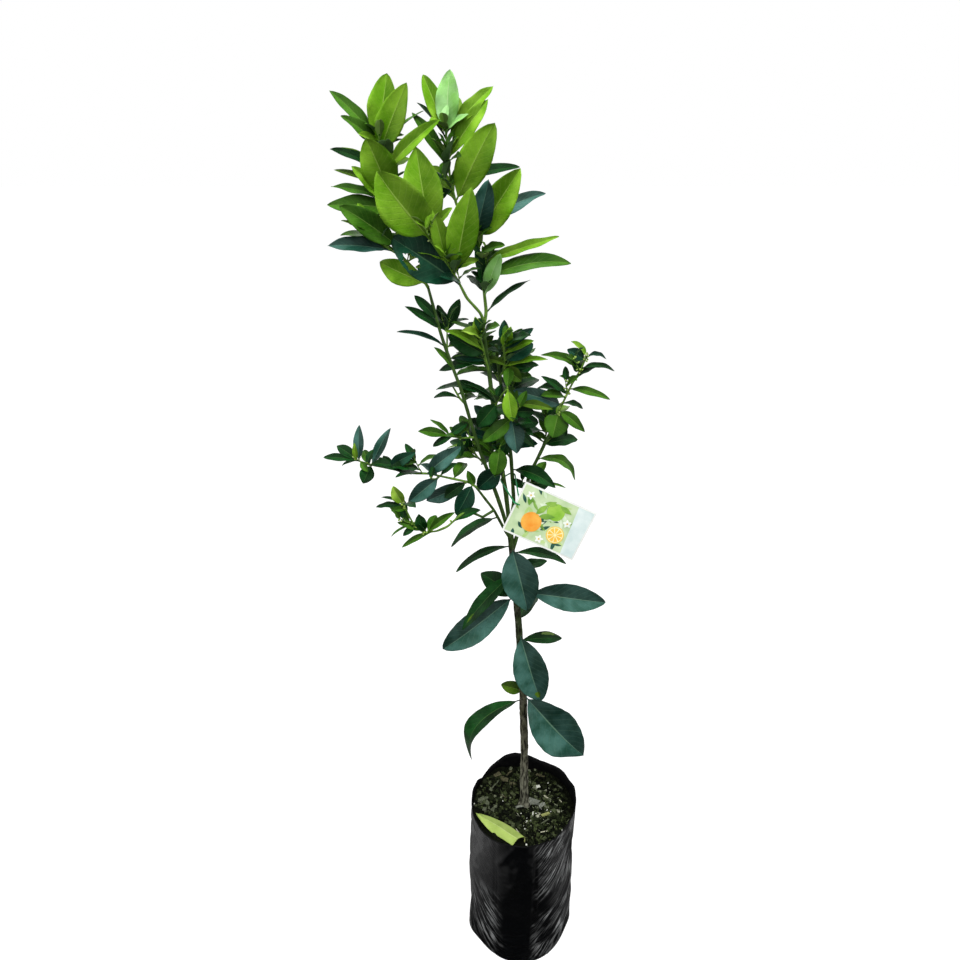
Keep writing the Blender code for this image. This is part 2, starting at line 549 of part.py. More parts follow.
def measured(points, root, tip, width, step, turn, arch=LEAF_ARCH, first=0.02):
    # From a leaf's marks: its place on the line, and reach and width in whole millimetres
    place, start = nearest_on(points, root, first)
    end = place_behind(tip, start[1] + step)
    dx, dy, dz = whole(end - start)
    broad = round(width * mark_of((start + end) / 2)[2] / VIEW_FOCUS / MM)
    return round(place, 2), dx, dy, dz, broad, turn, arch


def set_leaf(points, place, dx, dy, dz, width, turn, arch=LEAF_ARCH):
    # A leaf whose reach from its limb is given; its root is sunk in the limb
    root, heading = along(points, place)
    reach = Vector((dx, dy, dz)) * MM
    root = root - reach.normalized() * ROOT_DEPTH * 0.4
    return dict(root=root, reach=reach, upper=facing_side(reach, turn), width=width * MM,
                arch=arch)


def rule_leaves(points, rule):
    # Leaves spiral up a stem, each a fixed turn on from the last, with a little chance
    dice = random.Random(rule["seed"])
    grown = []
    for number in range(rule["count"]):
        share = number / max(rule["count"] - 1, 1)
        root, heading = along(points, 0.22 + 0.76 * share)
        compass = math.radians(rule["start"] + PHYLLOTAXIS * number + dice.uniform(-12, 12))
        lift = rule["lift"][0] + (rule["lift"][1] - rule["lift"][0]) * share
        lift = math.radians(lift + dice.uniform(-10, 10))
        length = rule["length"][0] + (rule["length"][1] - rule["length"][0]) * share
        length *= MM * dice.uniform(0.82, 1.08)
        reach = Vector((math.cos(compass) * math.cos(lift), math.sin(compass) * math.cos(lift),
                        math.sin(lift))) * length
        turn = dice.uniform(0, 45)
        root = root - reach.normalized() * ROOT_DEPTH * 0.4
        grown.append(dict(root=root, reach=reach, upper=facing_side(reach, turn),
                          width=length * dice.uniform(0.36, 0.46), arch=LEAF_ARCH))
    return grown


def cut_clear(item, cutter):
    # Trims an object by a neighbour that has been grown by the gap
    cut = item.modifiers.new("clearance", "BOOLEAN")
    cut.operation = "DIFFERENCE"
    cut.solver = "EXACT"
    cut.object = cutter
    apply_modifiers(item)


def apply_modifiers(item):
    bpy.context.view_layer.update()
    graph = bpy.context.evaluated_depsgraph_get()
    mesh = bpy.data.meshes.new_from_object(item.evaluated_get(graph))
    item.modifiers.clear()
    old = item.data
    item.data = mesh
    bpy.data.meshes.remove(old)


def shells_of(shape):
    # Groups of faces that hang together by their edges, the smallest group first
    left = set(shape.faces)
    shells = []
    while left:
        shell = [left.pop()]
        for face in shell:
            for edge in face.edges:
                for other in edge.link_faces:
                    if other in left:
                        left.remove(other)
                        shell.append(other)
        shells.append(shell)
    return sorted(shells, key=len)


def keep_main_body(item):
    # Keeps the largest shell, which fills sealed hollows and drops loose scraps
    for method in ("BEAUTY", "EAR_CLIP"):
        shape = bmesh.new()
        shape.from_mesh(item.data)
        bmesh.ops.triangulate(shape, faces=shape.faces, ngon_method=method)
        for shell in shells_of(shape)[:-1]:
            bmesh.ops.delete(shape, geom=shell, context="FACES")
        closed = all(edge.is_manifold for edge in shape.edges)
        if closed:
            shape.to_mesh(item.data)
        shape.free()
        if closed:
            return True
    return False


def fuse(item, pieces):
    # One union of a stem with the collection of its twigs and leaves
    if not pieces.objects:
        return
    stem = item.data.copy()
    for solver in ("EXACT", "MANIFOLD"):
        item.data = stem.copy()
        union = item.modifiers.new("fuse", "BOOLEAN")
        union.operation = "UNION"
        union.solver = solver
        union.operand_type = "COLLECTION"
        union.collection = pieces
        apply_modifiers(item)
        if keep_main_body(item):
            break
        print(item.name, "is not closed by", solver)
    for piece in list(pieces.objects):
        bpy.data.objects.remove(piece, do_unlink=True)


def start_mass(name, stem, radii, twigs, leaves, filling, clearance, colour):
    # The stem of a mass and its forked twigs, before any leaf takes its place
    stem_object = tube(name, stem, tapered(radii, len(stem)), 0, tree_parts)
    cut_clear(stem_object, clearance)
    keep_main_body(stem_object)
    paint(stem_object, colour, 0.45)
    occupied.append((name, tree_of(stem_object)))
    pieces = new_collection(name + "_pieces")
    for number, twig in enumerate(twigs):
        twig_radii = tapered((radii[1] * 1.1, radii[1] * 0.7), len(twig))
        branch = tube(name + "_twig_" + str(number), twig, twig_radii, 0, pieces)
        occupied.append((name, tree_of(branch)))
    return dict(name=name, stem=stem_object, pieces=pieces, leaves=leaves, filling=filling)


def place_leaves(mass, leaves):
    # Each leaf settles where it is free, or is left out
    name = mass["name"]
    kept = 0
    for leaf in leaves:
        placed = settle(leaf, name)
        if placed is None:
            continue
        kept += 1
        leaf_object(name + "_leaf", placed, mass["pieces"])
        occupied.append((name, BVHTree.FromPolygons(*leaf_faces(placed, 0.0))))
        blades.setdefault(name, []).append(blade_tree(placed))
    print(name, "leaves", kept, "of", len(leaves))


def finish_mass(mass):
    # One union joins the stem, its twigs and its leaves
    fuse(mass["stem"], mass["pieces"])
    bpy.data.collections.remove(mass["pieces"])


def rim_height(angle):
    # The rim runs straight between its kinks
    compass = math.degrees(angle) % 360.0
    if compass < BAG_RIM_HEIGHTS[0][0]:
        compass += 360.0
    for (low, first), (high, second) in zip(BAG_RIM_HEIGHTS, BAG_RIM_HEIGHTS[1:]):
        if low <= compass <= high:
            return (first + (second - first) * (compass - low) / (high - low)) * MM
    return BAG_RIM_HEIGHTS[0][1] * MM


def bag_reach(angle, height):
    # Radius of the bag: an even taper, a soft wave, and the gussets near the ground
    share = min(height / BAG_TAPER_HEIGHT, 1.0)
    low = max(0.0, 1.0 - height / 0.045)
    radius = BAG_BASE_RADIUS + (BAG_RIM_RADIUS - BAG_BASE_RADIUS) * share
    for gusset in BAG_GUSSETS:
        near = max(0.0, math.cos(angle - math.radians(gusset)))
        radius += BAG_GUSSET_REACH * near ** 30 * low
    return radius + 0.0015 * math.sin(3.0 * angle + 30.0 * height) - 0.002 * low


def bag_shape(inset, top_of):
    # An upright drum of rows and segments, moved to the bag's outline
    shape = bmesh.new()
    bmesh.ops.create_cone(shape, cap_ends=True, cap_tris=False, segments=BAG_SEGMENTS,
                          radius1=1.0, radius2=1.0, depth=1.0)
    bmesh.ops.translate(shape, verts=shape.verts, vec=(0.0, 0.0, 0.5))
    for row in range(1, BAG_ROWS):
        share = row / BAG_ROWS
        bmesh.ops.bisect_plane(shape, geom=shape.verts[:] + shape.edges[:] + shape.faces[:],
                               plane_co=(0.0, 0.0, share ** 1.4), plane_no=(0.0, 0.0, 1.0))
    for vertex in shape.verts:
        angle = math.atan2(vertex.co.y, vertex.co.x)
        height = inset + vertex.co.z * (top_of(angle) - inset)
        radius = bag_reach(angle, height) - inset - (SOIL_SLACK if inset else 0.0)
        vertex.co = Vector((math.cos(angle) * radius, math.sin(angle) * radius, height))
    return shape


def make_bag():
    shape = bag_shape(0.0, rim_height)
    lids = [face for face in shape.faces if face.normal.z > 0.9 and len(face.verts) > 8]
    tops = [face for face in lids if face.calc_center_median().z > 0.1]
    bmesh.ops.delete(shape, geom=tops, context="FACES_ONLY")
    shape.normal_update()
    bag = object_from_bmesh("planter_bag", shape, tree_parts)
    wall = bag.modifiers.new("wall", "SOLIDIFY")
    wall.thickness = BAG_WALL
    wall.offset = -1.0
    apply_modifiers(bag)
    paint(bag, BAG_BLACK, 0.25)
    return bag


def soil_height(x, y):
    # Level round the trunk, and gently mounded beyond it
    foot = LIMBS["trunk"]["points"][0]
    away = math.hypot(x - foot[0] * MM, y - foot[1] * MM)
    fade = min(1.0, max(0.0, (away - SOIL_RINGS[0] - 0.001) / 0.025))
    return SOIL_Z + SOIL_MOUND * fade * math.sin(60.0 * x + 1.0) * math.cos(50.0 * y)


def make_mix():
    inset = BAG_WALL + GAP
    shape = bag_shape(inset, lambda angle: SOIL_Z)
    top = max((face for face in shape.faces if len(face.verts) > 8),
              key=lambda face: face.calc_center_median().z)
    foot = LIMBS["trunk"]["points"][0]
    centre = Vector((foot[0], foot[1], 0.0)) * MM
    for radius in reversed(SOIL_RINGS):
        ring = bmesh.ops.inset_individual(shape, faces=[top], thickness=0.012)
        for vertex in top.verts:
            flat = vertex.co - centre
            flat.z = 0.0
            vertex.co = centre + flat.normalized() * radius + Vector((0.0, 0.0, SOIL_Z))
    for vertex in shape.verts:
        if vertex.co.z > SOIL_Z - 0.001:
            vertex.co.z = soil_height(vertex.co.x, vertex.co.y)
    bmesh.ops.triangulate(shape, faces=[top])
    mix = object_from_bmesh("potting_mix", shape, tree_parts)
    paint(mix, MIX_BROWN, 0.9)
    return mix


def make_limbs():
    # Trunk first, then boughs trimmed clear of it and of the limb they spring from; each
    # gets a sleeve that is wider by the gap, which trims what springs from it in turn
    for name, limb in LIMBS.items():
        points = metres(limb["points"])
        radii = [radius * MM for radius in limb["radii"]]
        if len(radii) == 2:
            radii = tapered(radii, len(points))
        if limb["parent"] in ("soil", "trunk_tip"):
            points[0] += (points[1] - points[0]).normalized() * GAP
        item = tube(name, points, radii, limb["resolution"], tree_parts)
        if limb["parent"] in LIMBS:
            for other in sorted({"trunk", limb["parent"]}):
                cut_clear(item, LIMBS[other]["sleeve"])
            keep_main_body(item)
        paint(item, BARK_GREY if name == "trunk" else STEM_GREEN, 0.7)
        occupied.append((name, tree_of(item)))
        covered = points[:-1] + [points[-1] + (points[-1] - points[-2]).normalized() * GAP]
        sleeve = tube(name + "_sleeve", covered, [radius + GAP for radius in radii],
                      limb["resolution"], cutters)
        sleeve.hide_render = True
        sleeve.display_type = "WIRE"
        limb["line"] = points
        limb["sleeve"] = sleeve


def make_single_leaves():
    leaves = {name: (limb, measured(LIMBS[limb]["points"], *form))
              for name, (limb, *form) in SINGLE_LEAVES.items()}
    leaves.update((name, (limb, form)) for name, (limb, *form) in HIDDEN_LEAVES.items())
    for name, (limb, form) in leaves.items():
        leaf = settle(set_leaf(LIMBS[limb]["line"], *form), limb)
        if leaf is None:
            print(name, "finds no free place")
            continue
        item = leaf_object(name, leaf, tree_parts)
        cut_clear(item, LIMBS[limb]["sleeve"])
        keep_main_body(item)
        paint(item, LEAF_DARK, 0.35)
        occupied.append((name, tree_of(item)))


def make_label():
    long_axis = LABEL_LONG.normalized()
    short_axis = (LABEL_SHORT - long_axis * LABEL_SHORT.dot(long_axis)).normalized()
    front = long_axis.cross(short_axis)
    turn = Matrix((long_axis, short_axis, front)).transposed().to_4x4()
    place = Matrix.Translation(LABEL_CENTRE) @ turn
    shape = bmesh.new()
    bmesh.ops.create_cube(shape, size=1.0)
    bmesh.ops.scale(shape, vec=LABEL_SIZE, verts=shape.verts)
    bmesh.ops.transform(shape, matrix=place, verts=shape.verts)
    card = object_from_bmesh("label_card", shape, tree_parts)
    hole_spot = Vector((LABEL_HOLE_INSET - LABEL_SIZE[0] / 2.0, LABEL_HOLE_DROP, 0.0))
    shape = bmesh.new()
    bmesh.ops.create_cone(shape, cap_ends=True, segments=10, radius1=LABEL_HOLE_RADIUS,
                          radius2=LABEL_HOLE_RADIUS, depth=0.01)
    bmesh.ops.transform(shape, matrix=place @ Matrix.Translation(hole_spot), verts=shape.verts)
    punch = object_from_bmesh("label_hole_cutter", shape, cutters)
    punch.hide_render = True
    punch.display_type = "WIRE"
    cut_clear(card, punch)
    paint(card, LABEL_PAPER, 0.35)
    occupied.append(("label_card", tree_of(card)))
    hole = place @ hole_spot
    edge = place @ Vector((-LABEL_SIZE[0] / 2.0, LABEL_HOLE_DROP, 0.0))
    return hole, edge, front


def limb_at(name, height):
    # Centre and radius of a limb at a height
    line = LIMBS[name]["line"]
    radii = tapered([radius * MM for radius in LIMBS[name]["radii"]], len(line))
    for i in range(len(line) - 1):
        if line[i].z <= height <= line[i + 1].z:
            share = (height - line[i].z) / (line[i + 1].z - line[i].z)
            return line[i].lerp(line[i + 1], share), radii[i] + (radii[i + 1] - radii[i]) * share
    return None


def round_limb(name, height, first, last):
    # Points that carry the tie round a limb, far enough out for its chords to clear it
    centre, radius = limb_at(name, height)
    steps = max(1, round(abs(last - first) / 36.0))
    half_step = math.radians(last - first) / steps / 2.0
    reach = (radius + TIE_RADIUS + GAP) / math.cos(half_step)
    points = []
    for step in range(steps + 1):
        angle = math.radians(first) + 2.0 * half_step * step
        points.append(centre + Vector((math.cos(angle), math.sin(angle), 0.0)) * reach)
    return points


def make_tie(hole, edge, front):
    # A loop round the two middle boughs that comes forward and through the card
    height = hole.z + 0.002
    out = (edge - hole).normalized()
    points = [hole - front * 0.003, hole + front * 0.0022, edge + out * 0.0022 + front * 0.0012,
              edge + out * 0.002 - front * 0.004]
    points += round_limb("centre_bough", height, 196.0, 146.0)
    points += round_limb("twin_bough", height, 146.0, 0.0)
    curve = bpy.data.curves.new("label_tie", "CURVE")
    curve.dimensions = "3D"
    curve.bevel_depth = TIE_RADIUS
    curve.bevel_resolution = 0
    spline = curve.splines.new("POLY")
    spline.points.add(len(points) - 1)
    for knot, point in zip(spline.points, points):
        knot.co = (point.x, point.y, point.z, 1.0)
    spline.use_cyclic_u = True
    guide = bpy.data.objects.new("label_tie_guide", curve)
    tree_parts.objects.link(guide)
    bpy.context.view_layer.update()
    graph = bpy.context.evaluated_depsgraph_get()
    mesh = bpy.data.meshes.new_from_object(guide.evaluated_get(graph))
    tie = bpy.data.objects.new("label_tie", mesh)
    tree_parts.objects.link(tie)
    bpy.data.objects.remove(guide, do_unlink=True)
    paint(tie, TIE_GREEN, 0.4)
    occupied.append(("label_tie", tree_of(tie)))


def drop_onto(item, supports):
    # Lowers an object in steps of the gap until the next step would touch a support
    trees = [tree_of(support) for support in supports]
    while not any(tree_of(item).overlap(tree) for tree in trees):
        for vertex in item.data.vertices:
            vertex.co.z -= GAP
    for vertex in item.data.vertices:
        vertex.co.z += 2.0 * GAP


def make_fallen_leaf(bag, mix):
    root = FALLEN_TIP + FALLEN_REACH + Vector((0.0, 0.0, 0.330))
    reach = -FALLEN_REACH
    leaf = dict(root=root, reach=reach, upper=-facing_side(reach, 12), width=FALLEN_WIDTH,
                arch=-0.02, fold=FALLEN_FOLD, stations=FALLEN_STATIONS)
    item = leaf_object("fallen_leaf", leaf, tree_parts)
    drop_onto(item, (bag, mix))
    paint(item, LEAF_FALLEN, 0.5)


def make_crown():
    # Set leaves take their places first, and the growth rule fills in round them
    masses = [start_set_mass(name, form) for name, form in SET_MASSES.items()]
    masses += [start_rule_mass(name, values) for name, values in RULE_MASSES.items()]
    for stage in ("leaves", "filling"):
        for mass in masses:
            place_leaves(mass, mass[stage])
    for mass in masses:
        finish_mass(mass)


def start_set_mass(name, form):
    marks = form.get("stem_marks")
    stem_points = measured_stem(form["parent"], marks) if marks else form["stem"]
    stem = metres(stem_points)
    twigs = [metres(twig) for twig in form["twigs"]]
    lines = [stem_points] + form["twigs"]
    first = 0.36 if name.startswith("crown") else 0.02
    leaves = [set_leaf(metres(lines[row[0]]), *measured(lines[row[0]], *row[1:], first=first))
              for row in form["leaves"]]
    filling = rule_leaves(stem, form["rule"])
    sleeve = LIMBS[form["parent"]]["sleeve"]
    radii = [radius * MM for radius in form["radii"]]
    colour = LEAF_YOUNG if name.startswith("head") else LEAF_DARK
    return start_mass(name, stem, radii, twigs, leaves, filling, sleeve, colour)


def start_rule_mass(name, values):
    # A side stem leaves its bough, curves up, and carries leaves by the growth rule
    parent, place, heading, lift, length, count, leaf_length, seed = values
    root, direction = along(LIMBS[parent]["line"], place)
    compass = math.radians(heading)
    rise = math.radians(lift)
    out = Vector((math.cos(compass) * math.cos(rise), math.sin(compass) * math.cos(rise),
                  math.sin(rise)))
    size = length * MM
    stem = [root, root + out * size * 0.5, root + out * size + Vector((0.0, 0.0, size * 0.2))]
    rule = dict(count=count, start=heading - 60, lift=(5, 40),
                length=(leaf_length, leaf_length * 0.75), seed=seed)
    filling = rule_leaves(stem, rule)
    sleeve = LIMBS[parent]["sleeve"]
    return start_mass(name, stem, (1.3 * MM, 0.9 * MM), [], [], filling, sleeve, LEAF_DARK)


clear_scene()
tree_parts = new_collection("potted_tangerine_tree")
cutters = new_collection("cutters")
bag_object = make_bag()
mix_object = make_mix()
make_limbs()
hole_point, edge_point, card_front = make_label()
make_tie(hole_point, edge_point, card_front)
make_fallen_leaf(bag_object, mix_object)
make_single_leaves()
make_crown()
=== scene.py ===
import json
import math
import random

import bpy
import numpy as np
from mathutils import Matrix, Vector
from mathutils.bvhtree import BVHTree

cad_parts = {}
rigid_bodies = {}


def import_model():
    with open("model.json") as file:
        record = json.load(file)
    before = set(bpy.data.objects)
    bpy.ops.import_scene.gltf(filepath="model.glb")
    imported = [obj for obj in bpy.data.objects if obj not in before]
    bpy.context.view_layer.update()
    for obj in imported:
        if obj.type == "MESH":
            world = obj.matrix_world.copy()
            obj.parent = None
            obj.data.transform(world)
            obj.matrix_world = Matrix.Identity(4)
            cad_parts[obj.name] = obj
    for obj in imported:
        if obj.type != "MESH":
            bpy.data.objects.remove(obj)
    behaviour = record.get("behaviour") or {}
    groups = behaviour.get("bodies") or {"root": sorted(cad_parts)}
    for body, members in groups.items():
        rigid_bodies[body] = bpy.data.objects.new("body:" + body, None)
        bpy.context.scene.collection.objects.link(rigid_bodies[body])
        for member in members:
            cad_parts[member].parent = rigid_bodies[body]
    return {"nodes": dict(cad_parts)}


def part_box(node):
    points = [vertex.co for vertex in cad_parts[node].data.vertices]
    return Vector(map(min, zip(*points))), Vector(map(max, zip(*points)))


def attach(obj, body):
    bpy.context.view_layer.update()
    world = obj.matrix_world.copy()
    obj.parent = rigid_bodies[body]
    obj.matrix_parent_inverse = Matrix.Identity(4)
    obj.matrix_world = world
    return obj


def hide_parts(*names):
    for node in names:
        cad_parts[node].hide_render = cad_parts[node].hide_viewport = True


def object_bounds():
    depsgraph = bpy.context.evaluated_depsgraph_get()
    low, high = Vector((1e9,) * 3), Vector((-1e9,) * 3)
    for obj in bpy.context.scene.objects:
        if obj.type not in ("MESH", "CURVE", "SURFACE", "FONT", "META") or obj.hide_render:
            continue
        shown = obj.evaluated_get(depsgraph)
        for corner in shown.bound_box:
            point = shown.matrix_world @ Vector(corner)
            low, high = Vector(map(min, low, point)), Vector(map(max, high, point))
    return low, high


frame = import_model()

cadBox = [[float(value) for value in corner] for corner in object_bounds()]
millimetre = 0.001

# The camera's view, in metres, degrees and pixels, in which leaves are measured too
viewForm = dict(place=np.array((-0.067, -0.78, 1.19)), pitch=25.0, focus=698.0, centre=480.0)
viewPitch = math.radians(viewForm["pitch"])
viewAhead = np.array((0.0, math.cos(viewPitch), -math.sin(viewPitch)))
viewUp = np.array((0.0, math.sin(viewPitch), math.cos(viewPitch)))


# Colours and small helpers
def tone(red, green, blueSheen):
    # Screen colour 0 to 255 to a linear colour: ((c + 0.055) / 1.055) to the power 2.4
    return tuple(((value / 255 + 0.055) / 1.055) ** 2.4 for value in (red, green, blueSheen)) + (1.0,)


def metres(points):
    return [Vector(point) * millimetre for point in points]


def along(points, place):
    # Point at a share of the length of a polyline
    lengths = [(points[i + 1] - points[i]).length for i in range(len(points) - 1)]
    left = place * sum(lengths)
    for i, length in enumerate(lengths):
        if left <= length or i == len(lengths) - 1:
            return points[i].lerp(points[i + 1], min(left / length, 1.0))
        left -= length


def softNoise(points, size, seed):
    # Random values 0 to 1 on a lattice of that size, blended by 3 t^2 - 2 t^3
    scaled = points / size
    cell = np.floor(scaled).astype(np.int64)
    part = scaled - cell
    part = part * part * (3 - 2 * part)
    total = np.zeros(points.shape[:-1])
    for corner in np.ndindex(2, 2, 2):
        spot = cell + np.array(corner)
        key = spot[..., 0] * 374761393 + spot[..., 1] * 668265263 + spot[..., 2] * 962287 + seed * 1274127
        key = (key ^ (key >> 13)) * 1274126177
        value = ((key ^ (key >> 16)) & 65535) / 65535
        total += value * np.prod(np.where(np.array(corner) == 1, part, 1 - part), axis=-1)
    return total


def addPiece(name, points, faces, materials, picks=None, uv=None, smooth=True):
    # A mesh object at the origin from arrays of points and faces
    mesh = bpy.data.meshes.new(name)
    mesh.from_pydata(np.asarray(points).reshape(-1, 3).tolist(), [], faces)
    for material in materials:
        mesh.materials.append(material)
    if picks is not None:
        mesh.polygons.foreach_set("material_index", np.asarray(picks, dtype=np.int32))
    mesh.polygons.foreach_set("use_smooth", np.full(len(mesh.polygons), smooth))
    if uv is not None:
        corners = np.empty(len(mesh.loops), dtype=np.int32)
        mesh.loops.foreach_get("vertex_index", corners)
        mesh.uv_layers.new(name="leafMap").data.foreach_set("uv", np.asarray(uv)[corners].ravel())
    mesh.update()
    item = bpy.data.objects.new(name, mesh)
    bpy.context.scene.collection.objects.link(item)
    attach(item, "root")
    return item


# Shared shader groups
def newGroup(name, inputs, outputs):
    group = bpy.data.node_groups.new(name, "ShaderNodeTree")
    for label, value in inputs:
        socket = group.interface.new_socket(label, in_out="INPUT", socket_type="NodeSocketFloat")
        socket.default_value = value
    for label in outputs:
        group.interface.new_socket(label, in_out="OUTPUT", socket_type="NodeSocketFloat")
    return group, group.nodes.new("NodeGroupInput"), group.nodes.new("NodeGroupOutput")


def math2(tree, operation, first, second=0.0, third=0.0):
    node = tree.nodes.new("ShaderNodeMath")
    node.operation = operation
    for socket, value in zip(node.inputs, (first, second, third)):
        if isinstance(value, (int, float)):
            socket.default_value = value
        else:
            tree.links.new(value, socket)
    return node.outputs[0]


def makeMottle():
    # Blotches: noise on object coordinates, stretched between two levels
    group, inlet, outlet = newGroup("mottle", [("Scale", 60.0), ("Low", 0.4), ("High", 0.6)], ["Mask"])
    place = group.nodes.new("ShaderNodeTexCoord")
    noise = group.nodes.new("ShaderNodeTexNoise")
    noise.inputs["Detail"].default_value = 4.0
    group.links.new(place.outputs["Object"], noise.inputs["Vector"])
    group.links.new(inlet.outputs["Scale"], noise.inputs["Scale"])
    level = group.nodes.new("ShaderNodeMapRange")
    group.links.new(noise.outputs["Fac"], level.inputs["Value"])
    group.links.new(inlet.outputs["Low"], level.inputs["From Min"])
    group.links.new(inlet.outputs["High"], level.inputs["From Max"])
    group.links.new(level.outputs["Result"], outlet.inputs["Mask"])
    return group


def makeVeins():
    # Leaf pattern on the leaf map: u runs to the tip, and the rib lies at v = 0.5.
    # Rib = 1 - |2 v - 1| / (rib width), and side veins are lines of equal u - 0.2 |2 v - 1|.
    # Half is 0 below v = 0.5 and 1 above it, the half of the blade that the light meets
    group, inlet, outlet = newGroup("leafVeins", [("Veins", 12.0), ("Cells", 26.0)],
                                    ["Rib", "Vein", "Height", "Half"])
    place = group.nodes.new("ShaderNodeTexCoord")
    split = group.nodes.new("ShaderNodeSeparateXYZ")
    group.links.new(place.outputs["UV"], split.inputs["Vector"])
    side = math2(group, "ABSOLUTE", math2(group, "MULTIPLY_ADD", split.outputs["Y"], 2.0, -1.0))
    ribWidth = math2(group, "MULTIPLY_ADD", split.outputs["X"], -0.05, 0.075)
    rib = math2(group, "SUBTRACT", 1.0, math2(group, "DIVIDE", side, ribWidth))
    rib = math2(group, "MAXIMUM", rib, 0.0)
    slant = math2(group, "MULTIPLY_ADD", side, -0.2, split.outputs["X"])
    wave = math2(group, "FRACT", math2(group, "MULTIPLY", slant, inlet.outputs["Veins"]))
    ridge = math2(group, "ABSOLUTE", math2(group, "SUBTRACT", wave, 0.5))
    vein = math2(group, "MAXIMUM", math2(group, "MULTIPLY_ADD", ridge, -11.0, 1.0), 0.0)
    stretch = group.nodes.new("ShaderNodeMapping")
    stretch.inputs["Scale"].default_value = (2.2, 1.0, 1.0)
    group.links.new(place.outputs["UV"], stretch.inputs["Vector"])
    cells = group.nodes.new("ShaderNodeTexVoronoi")
    group.links.new(stretch.outputs["Vector"], cells.inputs["Vector"])
    group.links.new(inlet.outputs["Cells"], cells.inputs["Scale"])
    raised = math2(group, "MULTIPLY_ADD", rib, 0.9, math2(group, "MULTIPLY", vein, -0.35))
    height = math2(group, "MULTIPLY_ADD", cells.outputs["Distance"], -0.45, raised)
    half = math2(group, "MULTIPLY_ADD", split.outputs["Y"], 16.0, -7.5)
    group.links.new(math2(group, "MINIMUM", math2(group, "MAXIMUM", half, 0.0), 1.0), outlet.inputs["Half"])
    group.links.new(rib, outlet.inputs["Rib"])
    group.links.new(vein, outlet.inputs["Vein"])
    group.links.new(height, outlet.inputs["Height"])
    return group


mottle = makeMottle()
leafVeins = makeVeins()


def addGroup(tree, group, **values):
    node = tree.nodes.new("ShaderNodeGroup")
    node.node_tree = group
    for label, value in values.items():
        node.inputs[label].default_value = value
    return node


def mixColours(tree, mask, first, second):
    # Blend of two colours, each a plain colour or another node's output
    node = tree.nodes.new("ShaderNodeMix")
    node.data_type = "RGBA"
    for socket, value in ((node.inputs[0], mask), (node.inputs[6], first), (node.inputs[7], second)):
        if isinstance(value, (tuple, float, int)):
            socket.default_value = value
        else:
            tree.links.new(value, socket)
    return node.outputs[2]


def addBump(tree, shader, height, strength, distance):
    node = tree.nodes.new("ShaderNodeBump")
    node.inputs["Strength"].default_value = strength
    node.inputs["Distance"].default_value = distance
    tree.links.new(height, node.inputs["Height"])
    tree.links.new(node.outputs["Normal"], shader.inputs["Normal"])


def newMaterial(name, roughness, specular=0.5, coat=0.0, coatRoughness=0.1):
    material = bpy.data.materials.new(name)
    material.use_nodes = True
    shader = material.node_tree.nodes["Principled BSDF"]
    shader.inputs["Roughness"].default_value = roughness
    shader.inputs["Specular IOR Level"].default_value = specular
    shader.inputs["Coat Weight"].default_value = coat
    shader.inputs["Coat Roughness"].default_value = coatRoughness
    return material, material.node_tree, shader


def dimmed(colour, share):
    return tuple(value * share for value in colour[:3]) + (1.0,)


def leafMaterial(name, colour, shade, ribColour, roughness, coat, ribShare=0.6, dim=0.55, specular=0.07):
    # The half of the blade away from the light is dimmed as painted shade, and both halves are mottled, partly as
    # painted patches of sheen and shade across the blade
    material, tree, shader = newMaterial(name, roughness, specular=specular, coat=coat, coatRoughness=0.2)
    spots = addGroup(tree, mottle, Scale=46.0, Low=0.36, High=0.64)
    veins = addGroup(tree, leafVeins)
    lit = mixColours(tree, spots.outputs["Mask"], colour, shade)
    unlit = mixColours(tree, spots.outputs["Mask"], dimmed(colour, dim), dimmed(shade, dim))
    base = mixColours(tree, veins.outputs["Half"], unlit, lit)
    share = math2(tree, "MULTIPLY_ADD", veins.outputs["Rib"], ribShare,
                  math2(tree, "MULTIPLY", veins.outputs["Vein"], 0.1))
    tree.links.new(mixColours(tree, share, base, ribColour), shader.inputs["Base Color"])
    addBump(tree, shader, veins.outputs["Height"], 0.5, 0.0010)
    return material


def plainMaterial(name, colour, shade, roughness, scale=120.0, bump=0.2, depth=0.0004, coat=0.0, specular=0.12):
    material, tree, shader = newMaterial(name, roughness, specular=specular, coat=coat)
    spots = addGroup(tree, mottle, Scale=scale, Low=0.35, High=0.65)
    tree.links.new(mixColours(tree, spots.outputs["Mask"], colour, shade), shader.inputs["Base Color"])
    addBump(tree, shader, spots.outputs["Mask"], bump, depth)
    return material


